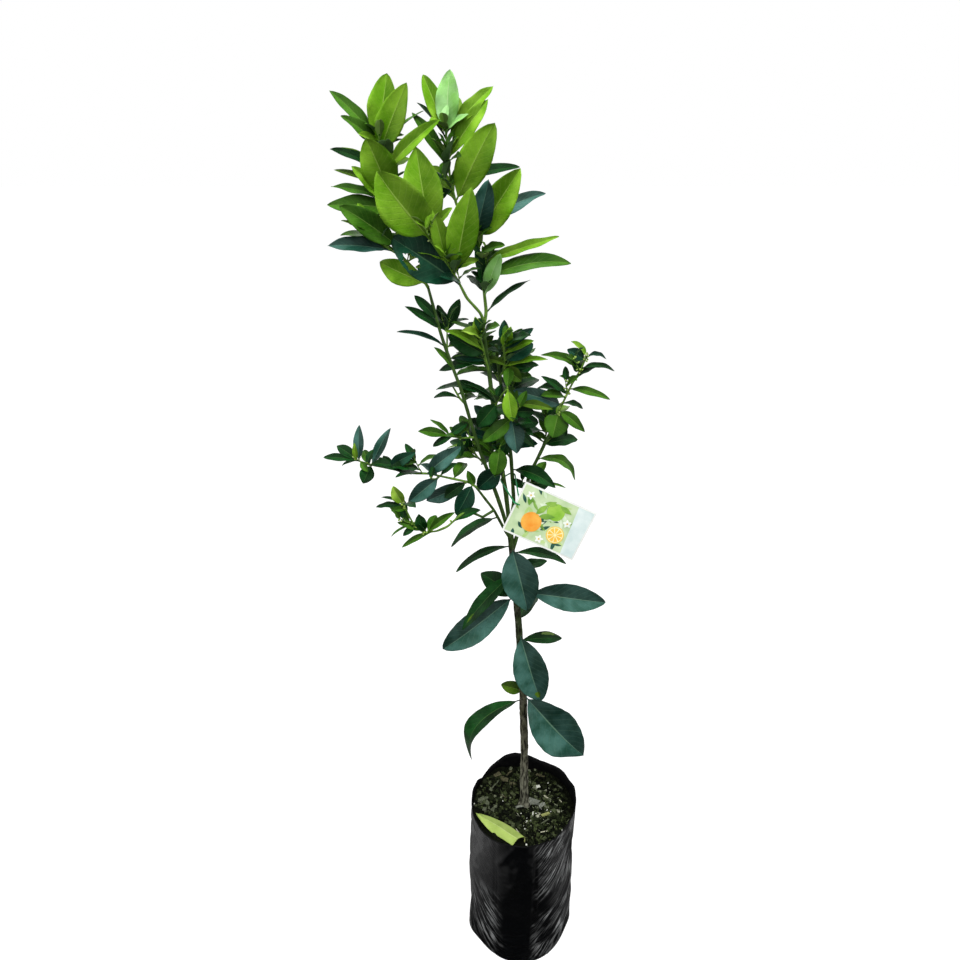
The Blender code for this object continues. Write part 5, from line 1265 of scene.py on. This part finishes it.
def makeMix():
    angle = np.linspace(0, 2 * np.pi, mixForm["sides"], endpoint=False)[None, :]
    reach = bagRadius(angle, np.full_like(angle, mixForm["level"])) - bagForm["wall"] - 0.0004
    share = np.linspace(1, 0.01, mixForm["rings"])[:, None]
    x, y = np.cos(angle) * reach * share, np.sin(angle) * reach * share
    top = np.stack([x, y, mixHeight(x, y)], axis=-1)
    side = bagRadius(angle, np.full_like(angle, 0.22)) - bagForm["wall"] - 0.002
    low = np.stack([np.cos(angle) * side, np.sin(angle) * side, np.full_like(angle, 0.22)], axis=-1)
    points = np.concatenate([low, top])
    faces = tubeFaces(mixForm["rings"] + 1, mixForm["sides"], 0)
    soil = plainMaterial("mixSoil", tone(20, 22, 14), tone(5, 7, 4), 0.95, scale=320.0, bump=0.8, depth=0.0012,
                         specular=0.03)
    mix = addPiece("mix_surface", points, faces, [soil])
    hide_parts("potting_mix")


def layChips(name, spots, sizes, spins, shake, paints, picks):
    # Each chip is a box of eight corners, jittered by shake and turned about x, y and z
    corners = np.array(list(np.ndindex(2, 2, 2))) - 0.5
    box = corners[None] * sizes[:, None] * shake
    for axis, spin in enumerate(spins):
        first, second = [(1, 2), (2, 0), (0, 1)][axis]
        a, b = box[..., first].copy(), box[..., second].copy()
        box[..., first] = a * np.cos(spin)[:, None] - b * np.sin(spin)[:, None]
        box[..., second] = a * np.sin(spin)[:, None] + b * np.cos(spin)[:, None]
    one = np.array([(0, 1, 3, 2), (4, 6, 7, 5), (0, 4, 5, 1), (2, 3, 7, 6), (0, 2, 6, 4), (1, 5, 7, 3)])
    faces = (one[None] + (np.arange(len(spots)) * 8)[:, None, None]).reshape(-1, 4).tolist()
    materials = [plainMaterial(name + "Paint" + str(number), colour, shade, 0.85, scale=600.0, bump=0.3,
                               specular=0.05) for number, (colour, shade) in enumerate(paints)]
    chips = addPiece(name, box + spots[:, None], faces, materials, np.repeat(picks, 6), smooth=False)


def makeChips(name, count, size, colours, seed, lift, slim=(0.35, 0.8), spot=None):
    # Chips lying on the mix; spot is (x, y, spread) for a heap of them
    dice = np.random.default_rng(seed)
    compass, away = dice.uniform(0, 2 * np.pi, count), 0.0735 * np.sqrt(dice.uniform(0.012, 1, count))
    x, y = np.cos(compass) * away, np.sin(compass) * away
    if spot is not None:
        x, y = dice.normal(spot[0], spot[2], count), dice.normal(spot[1], spot[2], count)
    keep = 0.0735 / np.maximum(np.hypot(x, y), 0.0735)
    x, y = x * keep, y * keep
    length = dice.uniform(*size, count)
    sizes = np.stack([length, length * dice.uniform(*slim, count), length * dice.uniform(slim[0] / 2, slim[1] / 2,
                                                                                         count)], 1)
    shake = dice.uniform(0.6, 1.25, (count, 8, 3))
    turn, tip, roll = dice.uniform(0, 2 * np.pi, count), dice.normal(0, 0.4, count), dice.normal(0, 0.4, count)
    spots = np.stack([x, y, mixHeight(x, y) + sizes[:, 2] * lift - underLeaf(x, y)], axis=1)
    layChips(name, spots, sizes, (roll, tip, turn), shake, colours, dice.integers(0, len(colours), count))


def underLeaf(x, y):
    # Chips near the fallen leaf's line lie 6 mm lower, out of its way
    start, reach = np.array(fallenForm["tip"]), np.array(fallenForm["reach"])
    share = np.clip(((x - start[0]) * reach[0] + (y - start[1]) * reach[1]) / reach.dot(reach), 0, 1)
    away = np.hypot(x - start[0] - share * reach[0], y - start[1] - share * reach[1])
    return 0.006 * np.clip((0.018 - away) / 0.004, 0, 1)


def makeDebris():
    dice = np.random.default_rng(41)
    table = np.array(debris, dtype=float)
    x, y = table[:, 0] * millimetre, table[:, 1] * millimetre
    sizes = table[:, 2:5] * millimetre
    shake = dice.uniform(0.45, 1.25, (len(table), 8, 3))
    spins = (dice.normal(0, 0.15, len(table)), -np.radians(table[:, 6]), np.radians(table[:, 5]))
    spots = np.stack([x, y, mixHeight(x, y) + sizes[:, 2] * 0.4 + 0.0012], axis=1)
    layChips("mix_debris", spots, sizes, spins, shake, debrisPaints, table[:, 7].astype(int))


fallenForm = dict(tip=(-0.0730, -0.0200), reach=(0.0620, -0.0450), width=0.024, fold=0.42, arch=-0.02,
                  rows=41, columns=25)
darkBits = [(tone(36, 42, 24), tone(12, 15, 8)), (tone(12, 14, 9), tone(4, 6, 3)),
            (tone(18, 22, 12), tone(6, 8, 4)), (tone(70, 80, 48), tone(28, 34, 18))]
greyBits = [(tone(84, 92, 64), tone(36, 42, 26)), (tone(124, 130, 106), tone(70, 76, 56)),
            (tone(40, 48, 28), tone(16, 20, 11))]
paleBits = [(tone(176, 178, 158), tone(120, 124, 100)), (tone(104, 112, 86), tone(62, 70, 48))]
whiteBits = [(tone(240, 242, 236), tone(206, 208, 198)), (tone(160, 166, 142), tone(110, 118, 94))]
# Loose pieces that are told apart: x, y, length, width, height in millimetres, turn, lean, paint
debris = [
    (27, 35, 6, 4, 3, 20, 0, 0),
    (34, 20, 20.1, 1.8, 1.6, -42, 4, 1),
    (15, -18, 9, 1.8, 1.6, 75, 50, 0),
    (35, -18, 14, 5, 2, 20, 5, 2),
    (-65, 9, 2.5, 2, 1.5, 127, 0, 0),
    (2, -67, 3, 2.4, 1.8, 85, 0, 0),
    (38, -9, 2.5, 2, 1.5, 49, 0, 0),
    (5, -29, 2.6, 2.08, 1.56, 89, 0, 0),
    (18, 25, 2.2, 1.76, 1.32, 131, 0, 0),
    (44, 42, 2.4, 1.92, 1.44, 56, 0, 0),
    (34, 4, 2.8, 2.24, 1.68, 28, 0, 0),
    (11, -28, 2, 1.6, 1.2, 117, 0, 0),
    (1, -42, 2.4, 1.92, 1.44, 75, 0, 0),
    (-76, 2, 2, 1.6, 1.2, 78, 0, 0),
    (20, -15, 2, 1.6, 1.2, 152, 0, 0),
    (-3, -15, 1.8, 1.44, 1.08, 47, 0, 0),
    (-66, 10, 11, 8, 2.5, 10, 6, 3),
    (-56, 5, 9, 7, 2.5, 60, 6, 3),
    (-50, -3, 10, 6, 2.5, -20, 6, 3),
    (-42, 1, 8, 6, 2.5, 35, 6, 3),
    (-60, -5, 9, 6, 2.5, 80, 6, 3),
    (-58, 16, 8, 6, 2.5, 0, 6, 3),
    (-28, 48, 17, 8, 3, -25, 8, 4),
    (-37, 57, 13, 7, 3, 20, 8, 4),
    (-16, 42, 12, 6, 3, -10, 8, 4),
    (20, 5, 15, 10, 4, -15, 7, 5),
    (31, 1, 11, 8, 4, 25, 7, 5),
    (13, 9, 9, 7, 4, 50, 7, 5),
    (-4, -2, 14, 4, 1.6, 8, 8, 5),
    (30, -46, 12.4, 1.4, 1.12, 8, 6, 1),
    (-10, -46, 9.6, 1.6, 1.28, -64, 6, 1),
    (-42, 39, 18.2, 2.2, 1.76, 50, 6, 3),
    (0, -58, 11.9, 1.8, 1.44, -93, 6, 2),
    (-30, 17, 12.1, 1.8, 1.44, -39, 6, 4),
    (59, 16, 15.7, 1.4, 1.12, -59, 6, 1),
    (-19, 62, 14.6, 3, 2.4, 45, 6, 4),
    (34, 58, 17.8, 3, 2.4, -27, 6, 4),
    (61, 35, 13.2, 2.4, 1.92, -49, 6, 3),
    (33, -29, 14.7, 2, 1.6, 29, 6, 3),
]
debrisPaints = [(tone(228, 230, 222), tone(170, 174, 158)), (tone(196, 196, 172), tone(140, 140, 116)),
                (tone(150, 154, 98), tone(112, 116, 66)), (tone(98, 104, 84), tone(62, 68, 52)),
                (tone(92, 90, 68), tone(50, 48, 33)), (tone(138, 142, 132), tone(84, 88, 76))]
makeMix()
makeChips("mix_chips", mixForm["chips"], (0.0018, 0.0062), darkBits, mixForm["seed"], 0.3)
makeChips("mix_chunks", 150, (0.006, 0.0115), greyBits[::2] + darkBits, 23, 0.35)
makeChips("mix_heap_right", 60, (0.0025, 0.0070), greyBits + paleBits, 27, 0.5, spot=(0.030, 0.004, 0.014))
makeChips("mix_heap_left", 34, (0.004, 0.0090), greyBits, 29, 0.4, spot=(-0.050, 0.008, 0.014))
makeChips("mix_heap_rear", 40, (0.004, 0.0085), greyBits, 31, 0.4, spot=(0.010, 0.050, 0.020))
makeChips("mix_sticks", 34, (0.004, 0.0100), paleBits, 33, 0.8, slim=(0.07, 0.13), spot=(0.024, -0.008, 0.030))
makeChips("mix_specks", mixForm["specks"], (0.0012, 0.0028), whiteBits, 19, 0.6, spot=(0.014, -0.020, 0.032))
makeDebris()
print("mix ready")

# Label, its tie and the fallen leaf
labelForm = dict(centre=(0.013, -0.070, 0.806), long=(0.909, -0.078, -0.410), short=(0.417, 0.150, 0.897),
                 size=(0.091, 0.064, 0.0008), inset=0.006, drop=0.004, border=0.0022)
longAxis = Vector(labelForm["long"]).normalized()
shortAxis = (Vector(labelForm["short"]) - longAxis * Vector(labelForm["short"]).dot(longAxis)).normalized()
frontAxis = longAxis.cross(shortAxis)
labelCentre = Vector(labelForm["centre"])


def printPatch(name, outline, level, colour, shade, gloss=0.3):
    # A flat inked patch just over the card; outline is (along, up) in millimetres from the centre
    rise = labelForm["size"][2] / 2 + 0.00003 + 0.00004 * level
    flat = np.asarray(outline, dtype=float) * millimetre
    base = np.array(labelCentre + frontAxis * rise)
    top = base + flat[:, :1] * np.array(longAxis) + flat[:, 1:] * np.array(shortAxis)
    under = top - np.array(frontAxis) * 0.00003
    count = len(flat)
    faces = [list(range(count)), [count + i for i in reversed(range(count))]]
    faces += [[i, i + count, (i + 1) % count + count, (i + 1) % count] for i in range(count)]
    ink = plainMaterial(name + "Ink", colour, shade, gloss, scale=70.0, bump=0.0, coat=0.3)
    patch = addPiece(name, np.concatenate([top, under]), faces, [ink], smooth=False)


def disc(x, y, radius, start=0.0, end=360.0, count=40):
    angle = np.radians(np.linspace(start, end, count, endpoint=end - start < 359))
    return np.stack([x + radius * np.cos(angle), y + radius * np.sin(angle)], axis=1)


def leafShape(x, y, length, width, turn, count=16):
    s = np.linspace(0, 1, count)
    half = width / 2 * np.sin(np.pi * s ** 0.9)
    flat = np.concatenate([np.stack([s * length, half], 1), np.stack([s * length, -half], 1)[-2:0:-1]])
    cosine, sine = math.cos(math.radians(turn)), math.sin(math.radians(turn))
    return np.stack([x + flat[:, 0] * cosine - flat[:, 1] * sine, y + flat[:, 0] * sine + flat[:, 1] * cosine], 1)


def makeLabel():
    card = frame["nodes"]["label_card"]
    paper = plainMaterial("labelPaper", tone(240, 242, 238), tone(230, 233, 228), 0.3, scale=50.0, bump=0.0, coat=0.4)
    card.data.materials.clear()
    card.data.materials.append(paper)
    wide = labelForm["size"][0] / millimetre / 2 - labelForm["border"] / millimetre
    tall = labelForm["size"][1] / millimetre / 2 - labelForm["border"] / millimetre
    printPatch("print_ground", [(-wide, -tall), (wide, -tall), (wide, tall), (-wide, tall)], 0,
               tone(206, 224, 184), tone(182, 208, 158))
    dice = random.Random(61)
    # A bed of leaves in four greens under the fruit
    greens = [(tone(62, 104, 86), tone(34, 72, 62)), (tone(150, 190, 96), tone(112, 160, 70)),
              (tone(196, 222, 150), tone(170, 204, 124)), (tone(226, 238, 214), tone(204, 224, 190))]
    for number in range(46):
        x, y = dice.uniform(-wide + 3, wide - 22), dice.uniform(-tall + 4, tall - 4)
        turn, length, width = dice.uniform(0, 360), dice.uniform(9, 15), dice.uniform(2.5, 5)
        flat = leafShape(x, y, length, width, turn)
        flat = np.clip(flat, (-wide + 0.2, -tall + 0.2), (wide - 0.2, tall - 0.2))
        ink = greens[number % 4]
        printPatch("print_bed_" + str(number), flat, 1 + number % 4, *ink)
    printPatch("print_panel", [(wide - 15, -tall), (wide, -tall), (wide, tall), (wide - 20, tall)], 5,
               tone(226, 238, 236), tone(206, 224, 222))
    printPatch("print_fruit_left", disc(-19, -9, 12.0), 6, tone(246, 186, 84), tone(240, 150, 52))
    printPatch("print_fruit_top", disc(2, 13, 10.5), 6, tone(166, 208, 88), tone(134, 186, 62))
    printPatch("print_slice_rind", disc(13, -12, 10.5), 7, tone(246, 214, 80), tone(240, 192, 60))
    printPatch("print_slice_pith", disc(13, -12, 9.4), 8, tone(254, 244, 196), tone(250, 236, 176))
    for number in range(9):
        start = number * 40 + 4
        wedge = np.concatenate([[(13 + 1.1 * math.cos(math.radians(start + 16)),
                                  -12 + 1.1 * math.sin(math.radians(start + 16)))],
                                disc(13, -12, 8.5, start, start + 32, 8)])
        printPatch("print_wedge_" + str(number), wedge, 9, tone(250, 204, 84), tone(244, 184, 60))
    for number, (x, y, length, width, turn) in enumerate([(-18, 2, 18, 7, 62), (-14, 1, 19, 7, 20),
                                                          (4, 22, 16, 6, -14), (0, 22, 15, 6, 196),
                                                          (-30, 8, 15, 6, 100)]):
        printPatch("print_leaf_" + str(number), leafShape(x, y, length, width, turn), 10,
                   tone(150, 192, 84), tone(96, 148, 56))
    for number, (x, y) in enumerate([(-33, 20), (-2, -24), (20, 6)]):
        for petal in range(5):
            printPatch("print_petal_" + str(number) + "_" + str(petal),
                       leafShape(x, y, 5.5, 3.2, 72 * petal + 20 * number, 8), 11,
                       tone(250, 252, 246), tone(238, 244, 236))
        printPatch("print_eye_" + str(number), disc(x, y, 1.1, count=16), 12, tone(236, 206, 92), tone(226, 190, 74))


def makeTie():
    # The tie's line: through the card, round the two middle boughs and back
    hole = labelCentre + longAxis * (labelForm["inset"] - labelForm["size"][0] / 2) + shortAxis * labelForm["drop"]
    edge = labelCentre - longAxis * labelForm["size"][0] / 2 + shortAxis * labelForm["drop"]
    out = (edge - hole).normalized()
    line = [hole - frontAxis * 0.003, hole + frontAxis * 0.0022, edge + out * 0.0022 + frontAxis * 0.0012,
            edge + out * 0.002 - frontAxis * 0.004]
    height = hole.z + 0.002
    for name, first, last, steps in (("centre_bough", 196.0, 146.0, 1), ("twin_bough", 146.0, 0.0, 4)):
        limb = limbs[name]
        for i in range(len(limb["line"]) - 1):
            low, high = limb["line"][i], limb["line"][i + 1]
            if low.z <= height <= high.z:
                share = (height - low.z) / (high.z - low.z)
                centre = low.lerp(high, share)
                radius = limb["sizes"][i] + (limb["sizes"][i + 1] - limb["sizes"][i]) * share
        reach = (radius + 0.0008 + 0.0003) / math.cos(math.radians(last - first) / steps / 2)
        for step in range(steps + 1):
            angle = math.radians(first + (last - first) * step / steps)
            line.append(centre + Vector((math.cos(angle), math.sin(angle), 0.0)) * reach)
    band = plainMaterial("tieBand", tone(26, 132, 76), tone(18, 110, 62), 0.38, scale=300.0, bump=0.15)
    tie = joinTubes("tie_loop", [(line + [line[0]], [0.0009] * (len(line) + 1), 160, None)], 10, band)
    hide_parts("label_tie")


def makeFallenLeaf():
    # Face down and folded along its rib: half width = width / 2 (1 - s^2.6)^0.75 (0.82 + 0.18 sin pi s)
    # from a blunt root to the tip
    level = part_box("fallen_leaf")
    reach = Vector((-fallenForm["reach"][0], -fallenForm["reach"][1], 0.0))
    upper = -facingSide(reach, 12)
    ahead, across = np.array(reach.normalized()), np.array(reach.normalized().cross(upper))
    rows, columns = fallenForm["rows"], fallenForm["columns"]
    s = np.linspace(0, 1, rows)[:, None, None]
    v = np.linspace(-1, 1, columns)[None, :, None]
    half = fallenForm["width"] / 2 * (1 - s ** 2.6) ** 0.75 * (0.82 + 0.18 * np.sin(np.pi * s)) + 0.0004
    half = half * (1 + 0.05 * np.sin(9 * s + 2 * v))
    span = reach.length * (1 - 0.05 * v * (1 - s) + 0.02 * v ** 2 * (1 - s))
    rise = fallenForm["fold"] * half * (np.sqrt(v ** 2 + 0.004) - 0.06) + 0.0006 * np.sin(11 * s + 3 * v)
    rise = rise + fallenForm["arch"] * reach.length * 4 * s * (1 - s)
    start = np.array([fallenForm["tip"][0] - reach.x, fallenForm["tip"][1] - reach.y, 0.3])
    middle = start + (1 - (1 - s) * span / reach.length) * np.array(reach) + across * v * half + np.array(upper) * rise
    thick = np.array(upper) * 0.00022
    points = np.stack([middle + thick, middle - thick])
    points[..., 2] += level[1][2] - 0.0002 - points[..., 2].max()
    top, under, rims = leafFaces(rows, columns)
    face = leafMaterial("leafFallen", tone(158, 178, 50), tone(134, 158, 32), tone(186, 200, 120), 0.5, 0.05, dim=0.7)
    back = leafMaterial("leafFallenUnder", tone(170, 192, 104), tone(150, 174, 84), tone(200, 212, 148), 0.5, 0.05,
                        dim=0.72)
    grid = np.meshgrid(np.linspace(0, 1, rows), np.linspace(0, 1, columns), indexing="ij")
    uv = np.tile(np.stack(grid, axis=-1).reshape(-1, 2), (2, 1))
    picks = [0] * len(top) + [1] * len(under) + [0] * len(rims)
    piece = addPiece("fallen_blade", points, np.concatenate([top, under, rims]).tolist(), [face, back], picks, uv)
    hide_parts("fallen_leaf")


makeLabel()
makeTie()
makeFallenLeaf()
print("label, tie and fallen leaf ready")

# Floor, light and camera
stageForm = dict(floor=30.0, floorSeen=0.9, floorMirrored=0.6, skyLight=0.3, skySeen=1.0, skyMirrored=1.1,
                 cameraPlace=(-0.067, -0.78, 1.19), pitch=25.0, focal=698.0, sensor=36.0, frameWidth=960)
# Soft boxes: place, size, power, and whether glossy things mirror them
softBoxes = [((-1.25, -0.35, 1.25), 1.3, 8.0, True), ((1.15, -0.30, 1.25), 1.3, 7.0, True),
             ((-0.1, -0.5, 2.5), 1.6, 46.0, False), ((-0.1, -2.4, 1.7), 1.4, 9.0, False),
             ((0.0, 1.8, 1.8), 1.6, 9.0, True), ((-0.5, -0.2, 2.4), 0.5, 3.0, True)]


def makeStage():
    size = stageForm["floor"]
    mesh = bpy.data.meshes.new("floor")
    mesh.from_pydata([(-size, -size, 0), (size, -size, 0), (size, size, 0), (-size, size, 0)], [], [(0, 1, 2, 3)])
    floor = bpy.data.objects.new("floor", mesh)
    bpy.context.scene.collection.objects.link(floor)
    material, tree, shader = newMaterial("floorPaint", 0.9, specular=0.1)
    eye = tree.nodes.new("ShaderNodeLightPath")
    seen = mixColours(tree, eye.outputs["Is Glossy Ray"], (0.3, 0.3, 0.3, 1.0), (0.01, 0.01, 0.01, 1.0))
    tree.links.new(seen, shader.inputs["Base Color"])
    # In reflections the floor is dark before the bag and bright in uneven bands at its sides
    place = tree.nodes.new("ShaderNodeTexCoord")
    split = tree.nodes.new("ShaderNodeSeparateXYZ")
    tree.links.new(place.outputs["Object"], split.inputs["Vector"])
    side = math2(tree, "MULTIPLY_ADD", math2(tree, "ABSOLUTE", split.outputs["X"]), 4.0, -0.35)
    side = math2(tree, "MINIMUM", math2(tree, "MAXIMUM", side, 0.0), 1.0)
    bands = tree.nodes.new("ShaderNodeTexNoise")
    bands.inputs["Scale"].default_value = 9.0
    tree.links.new(place.outputs["Object"], bands.inputs["Vector"])
    band = math2(tree, "MULTIPLY_ADD", bands.outputs["Fac"], 12.0, -5.6)
    band = math2(tree, "MINIMUM", math2(tree, "MAXIMUM", band, 0.1), 1.0)
    even = math2(tree, "LESS_THAN", split.outputs["X"], 0.0)
    band = math2(tree, "MAXIMUM", band, math2(tree, "MULTIPLY", even, 0.7))
    glare = math2(tree, "MULTIPLY", math2(tree, "MULTIPLY", side, band), eye.outputs["Is Glossy Ray"])
    glare = math2(tree, "MULTIPLY", glare, stageForm["floorMirrored"])
    shown = math2(tree, "MULTIPLY", eye.outputs["Is Camera Ray"], stageForm["floorSeen"])
    total = math2(tree, "ADD", glare, shown)
    tree.links.new(mixColours(tree, total, (0.0, 0.0, 0.0, 1.0), (1.0, 1.0, 1.0, 1.0)),
                   shader.inputs["Emission Color"])
    shader.inputs["Emission Strength"].default_value = 1.0
    mesh.materials.append(material)
    for number, (place, width, power, mirrored) in enumerate(softBoxes):
        light = bpy.data.lights.new("softBox" + str(number), "AREA")
        light.shape = "SQUARE"
        light.size = width
        light.energy = power
        lamp = bpy.data.objects.new("softBox" + str(number), light)
        bpy.context.scene.collection.objects.link(lamp)
        lamp.location = place
        lamp.visible_glossy = mirrored
        lamp.rotation_euler = (Vector(place) - Vector((-0.05, 0.0, 0.65))).to_track_quat("Z", "Y").to_euler()
    world = bpy.data.worlds.new("studio")
    world.use_nodes = True
    tree = world.node_tree
    backing = tree.nodes["Background"]
    rays = tree.nodes.new("ShaderNodeLightPath")
    glow = tree.nodes.new("ShaderNodeMix")
    glow.inputs[2].default_value = stageForm["skyLight"]
    glow.inputs[3].default_value = stageForm["skySeen"]
    tree.links.new(rays.outputs["Is Camera Ray"], glow.inputs[0])
    sheen = tree.nodes.new("ShaderNodeMix")
    sheen.inputs[3].default_value = stageForm["skyMirrored"]
    tree.links.new(glow.outputs[0], sheen.inputs[2])
    tree.links.new(rays.outputs["Is Glossy Ray"], sheen.inputs[0])
    tree.links.new(sheen.outputs[0], backing.inputs["Strength"])
    backing.inputs["Color"].default_value = (1.0, 1.0, 1.0, 1.0)
    bpy.context.scene.world = world
    bpy.context.scene.view_settings.view_transform = "Standard"
    lens = bpy.data.cameras.new("photoCamera")
    lens.sensor_width = stageForm["sensor"]
    lens.lens = stageForm["sensor"] * stageForm["focal"] / stageForm["frameWidth"]
    lens.clip_start = 0.01
    camera = bpy.data.objects.new("photoCamera", lens)
    bpy.context.scene.collection.objects.link(camera)
    camera.location = stageForm["cameraPlace"]
    camera.rotation_euler = (math.radians(90 - stageForm["pitch"]), 0, 0)
    bpy.context.scene.camera = camera


makeStage()
bpy.context.view_layer.update()
